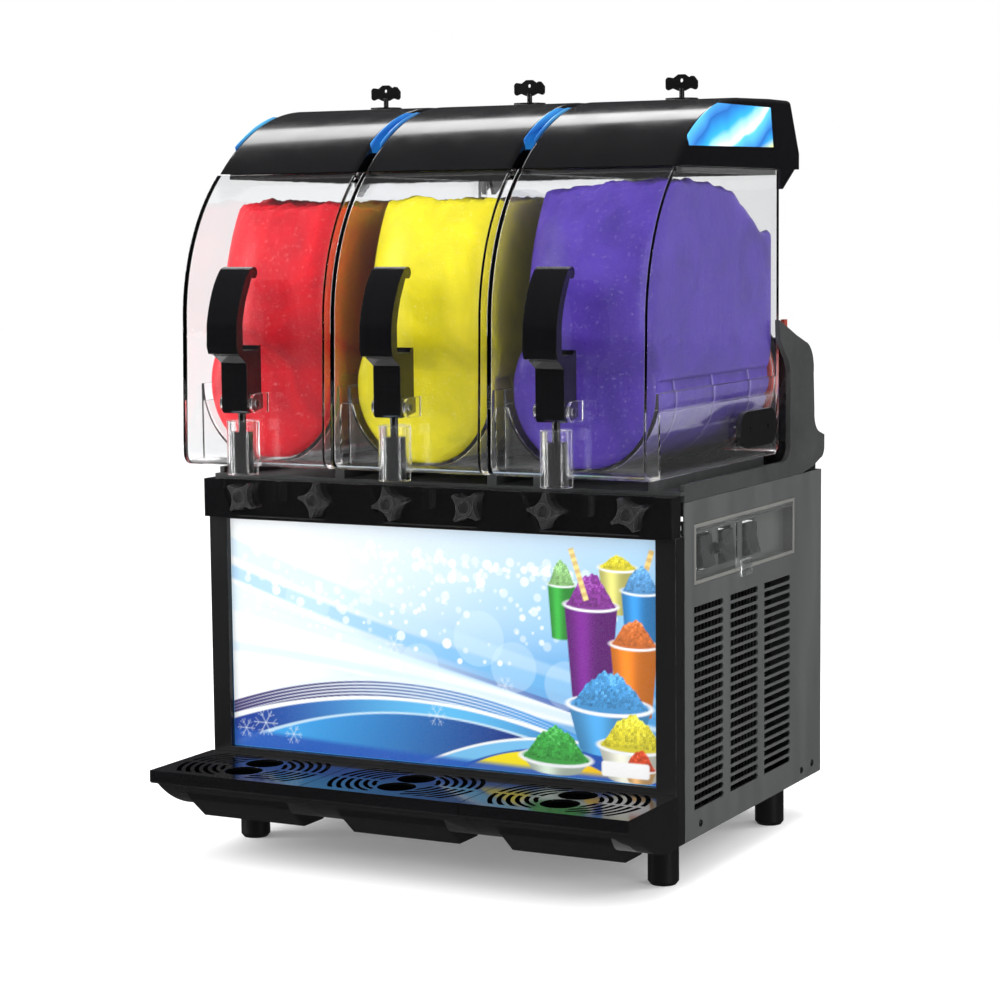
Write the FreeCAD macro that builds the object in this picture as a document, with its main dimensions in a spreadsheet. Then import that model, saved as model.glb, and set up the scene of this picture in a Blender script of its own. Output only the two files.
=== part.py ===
import FreeCAD, Part
import math
import os
import Sketcher

# A countertop machine that freezes and serves slush from three clear bowls.
# Millimetres. +X is the operator's right, +Y the back, +Z up; the origin is on the counter,
# under the middle of the whole machine.

SIZES = {
    # cabinet
    "width": 600, "front_plane": -164, "rear_plane": 284, "base_level": 51, "seam_level": 428,
    "sheet": 2, "post_width": 24, "post_depth": 24, "graphic_low": 115.5, "graphic_top": 388.5,
    "foot_radius": 17.5, "foot_out": 268, "foot_front": -127, "foot_back": 193,
    # front beam and deck
    "beam_front": -174, "beam_back": -150, "beam_low": 391, "beam_top": 436,
    "recess_depth": 6, "recess_foot": 62, "recess_head": 82, "deck_top": 440, "cheek_top": 447,
    "cheek_wall": 6, "bulkhead_front": 179, "housing_top": 592, "housing_rear": 295,
    # bowls
    "bowl_pitch": 198, "bowl_width": 190, "bowl_low": 457, "bowl_top": 790, "bowl_rear": 158,
    "bowl_wall": 4, "bowl_face": -221, "bowl_chin": -225, "bowl_knee": 620,
    "bowl_curve": 224, "bowl_ledge": -189, "drum_level": 549, "trough_radius": 88, "drum_radius": 55,
    "auger_radius": 84, "auger_inner": 58, "auger_pitch": 107, "shaft_radius": 6,
    # taps
    "tap_line": -246, "tube_radius": 17.6, "tube_bore": 12.6, "tube_low": 451, "tube_top": 512,
    "piston_radius": 12, "pivot_level": 532, "pivot_radius": 4, "fit": 0.05, "lever_half": 17,
    "paddle_half": 20,
    # lids and keys
    "lid_width": 186, "lid_low": 791.5, "lid_top": 872, "lid_wall": 3,
    "lid_back": 229, "lid_curve": 281, "lid_crest": 51, "key_line": 92,
    # drip trays
    "tray_pitch": 202, "tray_width": 201, "tray_front": -295, "tray_back": -165,
    "tray_lip": 94, "tray_top": 106.2, "grille_top": 109.4, "tray_floor": 52, "tray_wall": 2.5,
    # control recess in the right side panel
    "window_front": -113, "window_back": 193, "window_low": 333.5, "window_top": 401.5,
    "control_floor": 284, "switch_level": 365,
    # louvres
    "slot_low": 82, "slot_height": 7.2, "slot_pitch": 10.5, "slot_length": 85,
}
SLOT_COUNT = 22
SLOT_COLUMNS = (-114, -9, 95)
BOWL_NAMES = ("left", "centre", "right")
KNOB_ANGLES = (38, 8, 78, 40, 4, 62)
KNOB_OFFSET = 50
SLIP = 0.3

doc = FreeCAD.newDocument("slush_machine")
table = doc.addObject("Spreadsheet::Sheet", "sizes")
finished = []


class Size:
    """A length that is known as a number and as an expression on the sheet."""

    def __init__(self, value, text):
        self.value = value
        self.text = text

    def __add__(self, other):
        other = size(other)
        return Size(self.value + other.value, f"({self.text} + {other.text})")

    def __sub__(self, other):
        other = size(other)
        return Size(self.value - other.value, f"({self.text} - {other.text})")

    def __mul__(self, other):
        other = size(other)
        return Size(self.value * other.value, f"({self.text} * {other.text})")

    def __truediv__(self, other):
        other = size(other)
        return Size(self.value / other.value, f"({self.text} / {other.text})")

    def __neg__(self):
        return Size(-self.value, f"(0 - {self.text})")

    def __radd__(self, other):
        return size(other) + self

    def __rsub__(self, other):
        return size(other) - self

    def __rmul__(self, other):
        return size(other) * self


def size(number):
    return number if isinstance(number, Size) else Size(float(number), f"({float(number):.4f})")


def root(length):
    return Size(math.sqrt(length.value), f"sqrt({length.text})")


class Sheet:
    """The driving dimensions: each alias of the spreadsheet as a Size."""

    def __init__(self, sheet, values):
        for row, (alias, number) in enumerate(values.items(), 1):
            sheet.set(f"A{row}", alias)
            sheet.set(f"B{row}", str(number))
            sheet.setAlias(f"B{row}", alias)
            setattr(self, alias, Size(float(number), f"{sheet.Name}.{alias}"))


d = Sheet(table, SIZES)
doc.recompute()
half = d.width / 2
bowl_half = d.bowl_width / 2


def bowl_centre(index):
    return (index - 1) * d.bowl_pitch


def bind(obj, name, length):
    obj.setExpression(name, size(length).text)


def place(obj, x=0, y=0, z=0):
    for axis, length in zip("xyz", (x, y, z)):
        bind(obj, f"Placement.Base.{axis}", length)


def keep(obj, label):
    """Names a finished sub-part, which gets a file of its own."""
    obj.Label = label
    finished.append(obj)
    return obj


# ---------------------------------------------------------------- primitives and booleans

def box(low, high):
    block = doc.addObject("Part::Box", "block")
    spans = [size(b) - size(a) for a, b in zip(low, high)]
    for name, span in zip(("Length", "Width", "Height"), spans):
        bind(block, name, span)
    place(block, *low)
    return block


AXIS_TURNS = {
    "x": FreeCAD.Rotation(FreeCAD.Vector(0, 1, 0), 90),
    "y": FreeCAD.Rotation(FreeCAD.Vector(1, 0, 0), -90),
    "z": FreeCAD.Rotation(),
}


def along(axis, start, across):
    """The point that is at start on the axis and at the two across values on the others."""
    a, b = across
    return {"x": (start, a, b), "y": (a, start, b), "z": (a, b, start)}[axis]


def cylinder(axis, radius, low, high, across):
    rod = doc.addObject("Part::Cylinder", "rod")
    bind(rod, "Radius", radius)
    bind(rod, "Height", size(high) - size(low))
    rod.Placement = FreeCAD.Placement(FreeCAD.Vector(), AXIS_TURNS[axis])
    place(rod, *along(axis, low, across))
    return rod


def cone(axis, radius_low, radius_high, low, high, across):
    taper = doc.addObject("Part::Cone", "taper")
    bind(taper, "Radius1", radius_low)
    bind(taper, "Radius2", radius_high)
    bind(taper, "Height", size(high) - size(low))
    taper.Placement = FreeCAD.Placement(FreeCAD.Vector(), AXIS_TURNS[axis])
    place(taper, *along(axis, low, across))
    return taper


def fuse(*shapes):
    joined = doc.addObject("Part::MultiFuse", "joined")
    joined.Shapes = list(shapes)
    return joined


def cut(base, *tools):
    remaining = doc.addObject("Part::Cut", "remaining")
    remaining.Base = base
    remaining.Tool = tools[0] if len(tools) == 1 else fuse(*tools)
    return remaining


def common(first, second):
    shared = doc.addObject("Part::MultiCommon", "shared")
    shared.Shapes = [first, second]
    return shared


def group(*solids):
    """Separate solids that share one node."""
    together = doc.addObject("Part::Compound", "together")
    together.Links = list(solids)
    return together


# ---------------------------------------------------------------- sketched bodies

PLANE_ROLES = {"XY": "XY_Plane", "XZ": "XZ_Plane", "YZ": "YZ_Plane"}


def new_body():
    return doc.addObject("PartDesign::Body", "body")


def sketch_on(body, plane, level):
    """A sketch of the body on one of its own origin planes, moved to a level along its axis."""
    drawing = body.newObject("Sketcher::SketchObject", "sketch")
    origin = [f for f in body.Origin.OriginFeatures if f.Role == PLANE_ROLES[plane]][0]
    drawing.AttachmentSupport = [(origin, "")]
    drawing.MapMode = "FlatFace"
    bind(drawing, "AttachmentOffset.Base.z", -size(level) if plane == "XZ" else size(level))
    return drawing


def hold(drawing, geometry, point, spot):
    """Pins one point of the sketch to its two coordinates."""
    for kind, length in zip(("DistanceX", "DistanceY"), spot):
        index = drawing.addConstraint(
            Sketcher.Constraint(kind, -1, 1, geometry, point, length.value)
        )
        bind(drawing, f"Constraints[{index}]", length)


def arc_between(start, end, radius):
    """The short arc from start to end: anticlockwise for a positive radius, else clockwise."""
    sx, sy, ex, ey = start[0].value, start[1].value, end[0].value, end[1].value
    reach = abs(radius.value)
    chord = math.hypot(ex - sx, ey - sy)
    rise = math.sqrt(max(reach * reach - chord * chord / 4, 0.0))
    side = 1 if radius.value > 0 else -1
    cx = (sx + ex) / 2 - side * rise * (ey - sy) / chord
    cy = (sy + ey) / 2 + side * rise * (ex - sx) / chord
    first, last = math.atan2(sy - cy, sx - cx), math.atan2(ey - cy, ex - cx)
    if side < 0:
        first, last = last, first
    circle = Part.Circle(FreeCAD.Vector(cx, cy, 0), FreeCAD.Vector(0, 0, 1), reach)
    return Part.ArcOfCircle(circle, first, last), side > 0


def draw_loop(drawing, corners):
    """A closed outline. A corner is (u, v), or (u, v, radius) where an arc leads to the next."""
    spots = [(size(c[0]), size(c[1])) for c in corners]
    starts = []
    for index, corner in enumerate(corners):
        here, there = spots[index], spots[(index + 1) % len(spots)]
        if len(corner) == 3:
            radius = size(corner[2])
            curve, forward = arc_between(here, there, radius)
            number = drawing.addGeometry(curve, False)
            starts.append((number, 1 if forward else 2, 2 if forward else 1))
            reach = radius if radius.value > 0 else -radius
            fixed = drawing.addConstraint(Sketcher.Constraint("Radius", number, reach.value))
            bind(drawing, f"Constraints[{fixed}]", reach)
        else:
            line = Part.LineSegment(
                FreeCAD.Vector(here[0].value, here[1].value, 0),
                FreeCAD.Vector(there[0].value, there[1].value, 0),
            )
            starts.append((drawing.addGeometry(line, False), 1, 2))
    for index, (number, first, _) in enumerate(starts):
        before, _, last = starts[index - 1]
        drawing.addConstraint(Sketcher.Constraint("Coincident", before, last, number, first))
        hold(drawing, number, first, spots[index])


def draw_circle(drawing, u, v, radius):
    centre = FreeCAD.Vector(size(u).value, size(v).value, 0)
    circle = Part.Circle(centre, FreeCAD.Vector(0, 0, 1), size(radius).value)
    number = drawing.addGeometry(circle, False)
    fixed = drawing.addConstraint(Sketcher.Constraint("Radius", number, size(radius).value))
    bind(drawing, f"Constraints[{fixed}]", radius)
    hold(drawing, number, 3, (size(u), size(v)))


def draw(drawing, loops):
    for loop in loops:
        if loop[0] == "circle":
            draw_circle(drawing, *loop[1:])
        else:
            draw_loop(drawing, loop)


def sheet_feature(body, kind, plane, low, high, loops):
    drawing = sketch_on(body, plane, low)
    draw(drawing, loops)
    feature = body.newObject(kind, "feature")
    feature.Profile = drawing
    bind(feature, "Length", size(high) - size(low))
    forward = kind == "PartDesign::Pad"
    feature.Reversed = forward == (plane == "XZ")
    drawing.Visibility = False
    return feature


def pad(body, plane, low, high, *loops):
    return sheet_feature(body, "PartDesign::Pad", plane, low, high, loops)


def pocket(body, plane, low, high, *loops):
    return sheet_feature(body, "PartDesign::Pocket", plane, low, high, loops)


def repeat(body, feature, drawing_axis, span, count):
    """A row of copies of a feature along one axis of its sketch."""
    row = body.newObject("PartDesign::LinearPattern", "row")
    row.Originals = [feature]
    row.Direction = (feature.Profile[0], [drawing_axis])
    bind(row, "Length", span)
    row.Occurrences = count
    body.Tip = row
    return row


def turned(body, plane, level, loop, axis):
    """A full turn of an outline about one axis of its sketch."""
    drawing = sketch_on(body, plane, level)
    draw(drawing, [loop])
    solid = body.newObject("PartDesign::Revolution", "turned")
    solid.Profile = drawing
    solid.ReferenceAxis = (drawing, [axis])
    solid.Angle = 360
    return solid


def rectangle(u_low, v_low, u_high, v_high):
    return [(u_low, v_low), (u_high, v_low), (u_high, v_high), (u_low, v_high)]


def rounded(body, radius, chosen):
    """Rounds the edges of the body that the test chooses."""
    doc.recompute()
    tip = body.Tip
    names = [f"Edge{n}" for n, edge in enumerate(tip.Shape.Edges, 1) if chosen(edge)]
    fillet = body.newObject("PartDesign::Fillet", "rounding")
    fillet.Base = (tip, names)
    fillet.Radius = radius
    return fillet


def runs_along(edge, axis):
    """True for a straight edge parallel to the axis."""
    if edge.Curve.TypeId != "Part::GeomLine":
        return False
    return abs(abs(edge.Curve.Direction.dot(axis)) - 1) < 1e-6


AXIS_X, AXIS_Y, AXIS_Z = (FreeCAD.Vector(*v) for v in ((1, 0, 0), (0, 1, 0), (0, 0, 1)))


# ---------------------------------------------------------------- cabinet

def base_pan():
    inset = d.sheet + 0.5
    low = (-half + inset, d.front_plane + 26, d.base_level)
    high = (half - inset, d.rear_plane - inset, d.base_level + 14)
    wall = d.sheet
    hollow = box(
        (low[0] + wall, low[1] + wall, low[2] + wall),
        (high[0] - wall, high[1] - wall, high[2] + 1),
    )
    keep(cut(box(low, high), hollow), "base_pan")


def feet():
    solids = []
    for x in (-d.foot_out, d.foot_out):
        for y in (d.foot_front, d.foot_back):
            tread = cone("z", d.foot_radius - 3, d.foot_radius, 0, 4, (x, y))
            leg = cylinder("z", d.foot_radius, 4, d.base_level - 3, (x, y))
            neck = cylinder("z", d.foot_radius - 5, d.base_level - 3, d.base_level, (x, y))
            solids.append(fuse(tread, leg, neck))
    keep(group(*solids), "feet")


def front_frame():
    """Two posts and a sill around the opening for the picture."""
    frame = new_body()
    pad(
        frame, "XZ", d.front_plane, d.front_plane + d.post_depth,
        rectangle(-half, d.base_level, half, d.beam_low),
        rectangle(-half + d.post_width, d.graphic_low, half - d.post_width, d.graphic_top),
    )
    wall, inner = d.sheet, half - d.post_width
    pocket(
        frame, "XZ", d.front_plane + wall, d.front_plane + d.post_depth + 1,
        rectangle(-half + wall, d.base_level + wall, half - wall, d.beam_low - wall),
        rectangle(-inner - wall, d.graphic_low - wall, inner + wall, d.graphic_top + 0.5),
    )
    keep(frame, "front_frame")


def graphic_panel():
    edge = half - d.post_width - 0.5
    back = d.front_plane + 10
    keep(
        box((-edge, back - 3, d.graphic_low + 0.5), (edge, back, d.graphic_top - 0.5)),
        "graphic_panel",
    )


def light_box():
    """A white tray that holds three lamp strips behind the picture."""
    edge, front, back = half - d.post_width - 3, d.front_plane + 10.5, d.front_plane + 38
    low, top = d.graphic_low + 3, d.graphic_top - 3
    shell = cut(
        box((-edge, front, low), (edge, back, top)),
        box((-edge + 2, front - 1, low + 2), (edge - 2, back - 2, top - 2)),
    )
    strips = [
        box((-edge + 20, back - 5, level), (edge - 20, back - 2, level + 12))
        for level in (low + (top - low) * share for share in (0.2, 0.5, 0.8))
    ]
    keep(fuse(shell, *strips), "light_box")


def louvre(start, low):
    """One louvre slot in a side panel: its front end square, its rear end round."""
    high, end = low + d.slot_height, start + d.slot_length
    return [(start, low), (end - 3, low), (end, low + 3.2), (end - 3, high), (start, high)]


def side_panel(label, x_low, window):
    panel = new_body()
    front = d.front_plane + d.post_depth + 0.5
    pad(
        panel, "YZ", x_low, x_low + d.sheet,
        rectangle(front, d.base_level, d.rear_plane, d.seam_level - 0.5),
    )
    slots = [louvre(size(start), d.slot_low) for start in SLOT_COLUMNS]
    first = pocket(panel, "YZ", x_low - 1, x_low + d.sheet + 1, *slots)
    repeat(panel, first, "V_Axis", d.slot_pitch * (SLOT_COUNT - 1), SLOT_COUNT)
    if window:
        pocket(
            panel, "YZ", x_low - 1, x_low + d.sheet + 1,
            rectangle(d.window_front, d.window_low, d.window_back, d.window_top),
        )
    keep(panel, label)


def rear_panel():
    panel = new_body()
    edge = half - d.sheet - 0.5
    back = d.rear_plane
    pad(
        panel, "XZ", back - d.sheet, back,
        rectangle(-edge, d.base_level, edge, d.seam_level - 0.5),
        rectangle(-244, 80, -196, 107),
    )
    slots = [rectangle(left, 150, left + 120, 156) for left in (-220, -60, 100)]
    first = pocket(panel, "XZ", back - d.sheet - 1, back + 1, *slots)
    repeat(panel, first, "V_Axis", 12 * 17, 18)
    keep(panel, "rear_panel")


def power_inlet():
    """A flush appliance inlet with a hooded socket and three blades."""
    x, level, back = -220, 93.5, d.rear_plane
    flange = box((x - 29, back, level - 16), (x + 29, back + 2.5, level + 16))
    shroud = box((x - 23.5, back - 22, level - 13), (x + 23.5, back, level + 13))
    socket = box((x - 20, back - 18, level - 10), (x + 20, back + 3, level + 10))
    blades = [
        box((x + side - 1, back - 18.5, level - 3), (x + side + 1, back - 4, level + 3))
        for side in (-9, 0, 9)
    ]
    keep(fuse(cut(fuse(flange, shroud), socket), *blades), "power_inlet")


# ---------------------------------------------------------------- controls

def control_box():
    """The shallow recess that holds the switches, behind the clear flap."""
    y_low, y_high = d.window_front + 0.5, d.window_back - 0.5
    z_low, z_high = d.window_low + 0.5, d.window_top - 0.5
    floor = d.control_floor
    shell = cut(
        box((floor, y_low, z_low), (half, y_high, z_high)),
        box((floor + d.sheet, y_low + 5, z_low + 4), (half + 1, y_high - 5, z_high - 4)),
    )
    openings = [
        box((floor - 1, y - 18, d.switch_level - 21), (floor + 3, y + 18, d.switch_level + 21))
        for y in ROCKERS.values()
    ]
    knob_hole = cylinder("x", 3 + d.fit, floor - 1, floor + 3, (KNOB_LINE, d.switch_level))
    pin_bore = cylinder("y", 1 + d.fit, y_low + 3, y_high - 3, (FLAP_PIVOT_X, FLAP_PIVOT_Z))
    keep(cut(shell, *openings, knob_hole, pin_bore), "control_box")


FLAP_PIVOT_X, FLAP_PIVOT_Z = half - 1.5, d.window_top - 7.5


ROCKERS = {"power_rocker": -58, "mixer_rocker": 4, "light_rocker": 76}
KNOB_LINE = -29
ROCKER_TILT = 8


def rocker(label, y):
    """A rocker switch, stored with its upper end pressed in."""
    body = new_body()
    pad(body, "XZ", -17, 17, [(-5, -18), (4.5, -18), (2.5, 0), (4.5, 18), (-5, 18)])
    pad(body, "XZ", -17.7, 17.7, ("circle", -1, 0, 2.2))
    body.Placement = FreeCAD.Placement(
        FreeCAD.Vector(), FreeCAD.Rotation(FreeCAD.Vector(0, 1, 0), -ROCKER_TILT)
    )
    place(body, d.control_floor + 4, y, d.switch_level)
    keep(body, label)


def thermostat_knob():
    """A small round knob with a pointer ridge, on a stem through the recess floor."""
    x, spot = d.control_floor + 2.4, (KNOB_LINE, d.switch_level)
    skirt = cylinder("x", 7, x, x + 3, spot)
    grip = cone("x", 6, 5.2, x + 3, x + 10, spot)
    stem = cylinder("x", 3, x - 12, x, spot)
    ridge = box(
        (x + 3, KNOB_LINE - 1, d.switch_level), (x + 11, KNOB_LINE + 1, d.switch_level + 6)
    )
    keep(fuse(skirt, grip, stem, ridge), "thermostat_knob")


def control_flap():
    """A clear door hinged along its top edge, with a latch tab that hooks under the frame."""
    y_low, y_high = d.window_front + 6.5, d.window_back - 6.5
    pivot_x, pivot_z = FLAP_PIVOT_X, FLAP_PIVOT_Z
    plate = box((half - 2.2, y_low, d.window_low + 5), (half - 0.2, y_high, pivot_z))
    barrel = cylinder("y", 1.8, y_low, y_high, (pivot_x, pivot_z))
    pins = cylinder("y", 1, y_low - 1.5, y_high + 1.5, (pivot_x, pivot_z))
    rib = box((half - 0.2, 8, d.window_low + 5), (half + 0.8, 11, pivot_z - 4))
    tab = box((half + 0.3, 21, d.window_low - 6.5), (half + 2, 52, d.window_low + 12))
    tab_root = box((half - 2.2, 21, d.window_low + 6), (half + 2, 52, d.window_low + 12))
    keep(fuse(plate, barrel, pins, rib, tab, tab_root), "control_flap")


# ---------------------------------------------------------------- beam, deck and rear housing

def beam_recess(centre):
    return [
        (centre - d.recess_foot, d.beam_low + 2), (centre + d.recess_foot, d.beam_low + 2),
        (centre + d.recess_head, d.beam_top + 1), (centre - d.recess_head, d.beam_top + 1),
    ]


def front_beam():
    """The beam under the bowls' noses, with a recess and a locating finger below each bowl."""
    beam = new_body()
    pad(
        beam, "XZ", d.beam_front, d.beam_back,
        rectangle(-half, d.beam_low + 0.2, half, d.beam_top),
    )
    floor = d.beam_front + d.recess_depth
    centres = [bowl_centre(n) for n in range(3)]
    pocket(beam, "XZ", d.beam_front - 1, floor, *[beam_recess(c) for c in centres])
    pad(
        beam, "XZ", d.beam_front - 2, floor + 1,
        *[rectangle(c - 4, 412, c + 4, d.beam_top) for c in centres],
    )
    knobs = [c + side * KNOB_OFFSET for c in centres for side in (-1, 1)]
    pocket(
        beam, "XZ", d.beam_front - 3, d.beam_back + 1,
        *[("circle", x, KNOB_LEVEL, 4 + d.fit) for x in knobs],
    )
    keep(beam, "front_beam")


KNOB_LEVEL = 416
STAR_TIP, STAR_BLUNT, STAR_SWEEP = 20, 1.6, 21


def star_knob(number, x, angle):
    """A hand knob with four swept points, a hollow in its face and a stem into the beam."""
    seat = d.beam_front + d.recess_depth - SLIP
    tips = []
    for turn in range(4):
        c, s = math.cos(turn * math.pi / 2), math.sin(turn * math.pi / 2)
        tips.append((STAR_TIP * c + STAR_BLUNT * s, STAR_TIP * s - STAR_BLUNT * c))
        tips.append((STAR_TIP * c - STAR_BLUNT * s, STAR_TIP * s + STAR_BLUNT * c, -STAR_SWEEP))
    body = new_body()
    pad(body, "XZ", -11, 0, tips)
    pad(body, "XZ", -13, 0, ("circle", 0, 0, 9.5))
    pocket(body, "XZ", -14, -9, ("circle", 0, 0, 7))
    pad(body, "XZ", -1, 24, ("circle", 0, 0, 4))
    body.Placement = FreeCAD.Placement(
        FreeCAD.Vector(), FreeCAD.Rotation(FreeCAD.Vector(0, 1, 0), angle)
    )
    place(body, x, seat, KNOB_LEVEL)
    keep(body, f"star_knob_{number}")


def cheek_outline():
    """Side view of the housing's cheeks: a low strip along the deck and a horn behind the bowl."""
    front, rear = d.front_plane + d.post_depth + 0.5, d.housing_rear
    wall, top = d.bulkhead_front, d.housing_top
    return [
        (front, d.seam_level), (wall + 40, d.seam_level), (rear - 40, d.seam_level + 5),
        (rear - 14, 441, 14), (rear, 455), (rear, 469), (rear - 18, 474, -24),
        (rear - 35, 500), (rear - 38, 546, 34), (rear - 66, top - 6), (rear - 96, top + 3),
        (wall - 36, top + 23), (wall - 34, top), (wall - 16, top - 18, -38), (wall, top - 40),
        (wall, d.cheek_top + 20, -20), (wall - 20, d.cheek_top), (front, d.cheek_top),
    ]


def deck_housing():
    """The moulded deck: floor, six rails for the bowls and two side cheeks."""
    deck = new_body()
    front = d.beam_back
    pad(deck, "XY", d.beam_top, d.deck_top, rectangle(-half, front, half, d.bulkhead_front))
    for low, high in ((-half, -half + d.cheek_wall), (half - d.cheek_wall, half)):
        pad(deck, "YZ", low, high, cheek_outline())
    rails = []
    for n in range(3):
        for side in (-70, 70):
            x = bowl_centre(n) + side
            rails.append(rectangle(x - 6, front, x + 6, d.bowl_rear))
    pad(deck, "XY", d.deck_top - 1, d.bowl_low - SLIP, *rails)
    keep(deck, "deck_housing")


def bowl_bulkhead():
    """The wall behind the bowls: a round-topped arch and a hole for each freezing drum."""
    edge = half - d.cheek_wall - SLIP
    front, back = d.bulkhead_front, d.bulkhead_front + 3
    plate = box((-edge, front, d.seam_level), (edge, back, d.housing_top - 4))
    spots = [(bowl_centre(n), d.drum_level) for n in range(3)]
    arches = [cylinder("y", d.trough_radius, front, back, spot) for spot in spots]
    holes = [
        cylinder("y", d.drum_radius + 2, front - 1, back + 1, spot) for spot in spots
    ]
    keep(cut(fuse(plate, *arches), *holes), "bowl_bulkhead")


def rear_cover():
    """The shell over the gear motors, between the two cheeks."""
    edge = half - d.cheek_wall - SLIP
    rear, top, front, wall = d.housing_rear, d.housing_top, d.bulkhead_front + 3.3, d.lid_wall
    shell = new_body()
    pad(shell, "YZ", -edge, edge, [
        (front, top - wall), (front, top), (rear - 96, top), (rear - 66, top - 7),
        (rear - 43, top - 37), (rear - 39, 500), (rear - 21, 472), (rear - 1.6, 468),
        (rear - 1.6, 455), (rear - 14, 442), (rear - 14, d.seam_level),
        (rear - 14 - wall, d.seam_level), (rear - 14 - wall, 443.3), (rear - 1.6 - wall, 456.3),
        (rear - 1.6 - wall, 465.4), (rear - 22.6, 469.2), (rear - 42, 499),
        (rear - 46, top - 38), (rear - 67, top - 10), (rear - 96.5, top - wall),
    ])
    vents = pocket(
        shell, "XZ", rear - 60, rear - 20,
        *[rectangle(x, 505, x + 50, 509) for x in (-240, -180, -25, 35, 130, 190)],
    )
    repeat(shell, vents, "V_Axis", 18, 3)
    keep(shell, "rear_cover")


def light_contacts():
    """Three posts that feed the lamps in the lids."""
    posts = []
    for n in range(3):
        x = bowl_centre(n) + 89
        low = d.housing_top
        foot = box((x - 4, 184, low), (x + 4, 197, low + 4))
        posts.append(fuse(foot, box((x - 2.5, 186, low + 4), (x + 2.5, 195, low + 22))))
    keep(group(*posts), "light_contacts")


def screws():
    """Pan-head screws of the side panels, rear panel and rear cover."""
    heads = []
    spots = ((-97, 65), (217, 64), (253, 66))
    for side in (-1, 1):
        for y, z in spots:
            x = half * side
            ends = (x, x + 1.6) if side > 0 else (x - 1.6, x)
            heads.append(cylinder("x", 4, *ends, (y, z)))
    back = d.rear_plane
    for x in (-285, 0, 285):
        for z in (66, 414):
            heads.append(cylinder("y", 4, back, back + 1.6, (x, z)))
    keep(group(*heads), "screws")


# ---------------------------------------------------------------- refrigeration and drive

def compressor():
    """A hermetic compressor: a domed can on a foot plate, with a terminal box."""
    x, y, can_radius = -165, 80, 82
    can = cylinder("z", can_radius, 63, 190, (x, y))
    shoulder = cone("z", can_radius, 64, 190, 216, (x, y))
    dome = cone("z", 64, 26, 216, 230, (x, y))
    plate = box((x - 100, y - 70, 60), (x + 100, y + 70, 64))
    mounts = [
        cylinder("z", 12, d.base_level + d.sheet, 70, (x + dx, y + dy))
        for dx in (-86, 86) for dy in (-56, 56)
    ]
    terminals = box((x + 60, y - 28, 120), (x + 104, y + 28, 175))
    keep(fuse(can, shoulder, dome, plate, *mounts, terminals), "compressor")


def condenser():
    """A finned coil that stands beside the louvres."""
    coil = new_body()
    y_low, y_high, z_low, z_high = -110, 190, d.base_level + d.sheet, 318
    pad(coil, "YZ", 228, 270, rectangle(y_low, z_low, y_high, z_high))
    gap = pocket(
        coil, "YZ", 227, 271, rectangle(y_low + 8, z_low + 14, y_low + 14, z_high - 12)
    )
    repeat(coil, gap, "H_Axis", 10 * 27, 28)
    keep(coil, "condenser")


FAN_SPOT = (40, 190)


def fan_motor():
    """The fan's motor on a bent bracket from the base pan."""
    y, z = FAN_SPOT
    can = cylinder("x", 32, 118, 180, FAN_SPOT)
    arm = box((140, y - 18, d.base_level + d.sheet), (152, y + 18, z - 20))
    foot = box((110, y - 30, d.base_level + d.sheet), (180, y + 30, d.base_level + 6))
    bore = cylinder("x", 3 + d.fit, 160, 181, FAN_SPOT)
    keep(cut(fuse(can, arm, foot), bore), "fan_motor")


def condenser_fan():
    """Five pitched blades on a hub and a short shaft."""
    hub = cylinder("x", 22, 190, 212, FAN_SPOT)
    shaft = cylinder("x", 3, 162, 191, FAN_SPOT)
    blades = []
    for n in range(5):
        blade = doc.addObject("Part::Box", "blade")
        blade.Length, blade.Width, blade.Height = 2, 46, 76
        turn = FreeCAD.Rotation(FreeCAD.Vector(1, 0, 0), 72 * n)
        pitch = FreeCAD.Rotation(FreeCAD.Vector(0, 0, 1), 24)
        offset = turn.multVec(pitch.multVec(FreeCAD.Vector(-1, -23, 0)) + FreeCAD.Vector(0, 0, 20))
        centre = FreeCAD.Vector(201, *FAN_SPOT)
        blade.Placement = FreeCAD.Placement(centre + offset, turn.multiply(pitch))
        blades.append(blade)
    keep(fuse(hub, shaft, *blades), "condenser_fan")


def evaporator_drums():
    """Three hollow cold drums that stand out of the bulkhead into the bowls, each on a flange."""
    drums = []
    wall, back = 3, d.bulkhead_front
    for n in range(3):
        spot = (bowl_centre(n), d.drum_level)
        barrel = cylinder("y", d.drum_radius, -146, back, spot)
        neck = cylinder("y", 20, back - 10, 187, spot)
        flange = cylinder("y", 79.6, back - 8, back, spot)
        rim = cylinder("y", 79.6, 150, back - 7, spot)
        hollow = cylinder("y", d.drum_radius - wall, -146 + wall, back - 10, spot)
        groove = cut(
            cylinder("y", 75, 149, back - 8, spot),
            cylinder("y", d.drum_radius, 148, back - 7, spot),
        )
        bore = cylinder("y", d.shaft_radius + d.fit, -150, 190, spot)
        drums.append(cut(fuse(barrel, neck, flange, rim), hollow, groove, bore))
    keep(group(*drums), "evaporator_drums")


def bowl_gaskets():
    """A soft red ring round each drum's flange, which seals the back of the bowl."""
    rings = []
    for n in range(3):
        spot = (bowl_centre(n), d.drum_level)
        rings.append(cut(
            cylinder("y", 85.4, 150, 164, spot),
            cylinder("y", 79.6, 149, 165, spot),
        ))
    keep(group(*rings), "bowl_gaskets")


def gear_motors():
    """Three right-angle gear motors behind the bulkhead, one for each auger."""
    units = []
    for n in range(3):
        x = bowl_centre(n)
        case = box((x - 42, 190, 500), (x + 42, 236, 568))
        boss = cylinder("y", 16, 187.5, 190, (x, d.drum_level))
        motor = cylinder("z", 21, 446, 500, (x, 213))
        bore = cylinder("y", d.shaft_radius + d.fit, 187, 236, (x, d.drum_level))
        units.append(cut(fuse(case, boss, motor), bore))
    keep(group(*units), "gear_motors")


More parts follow.
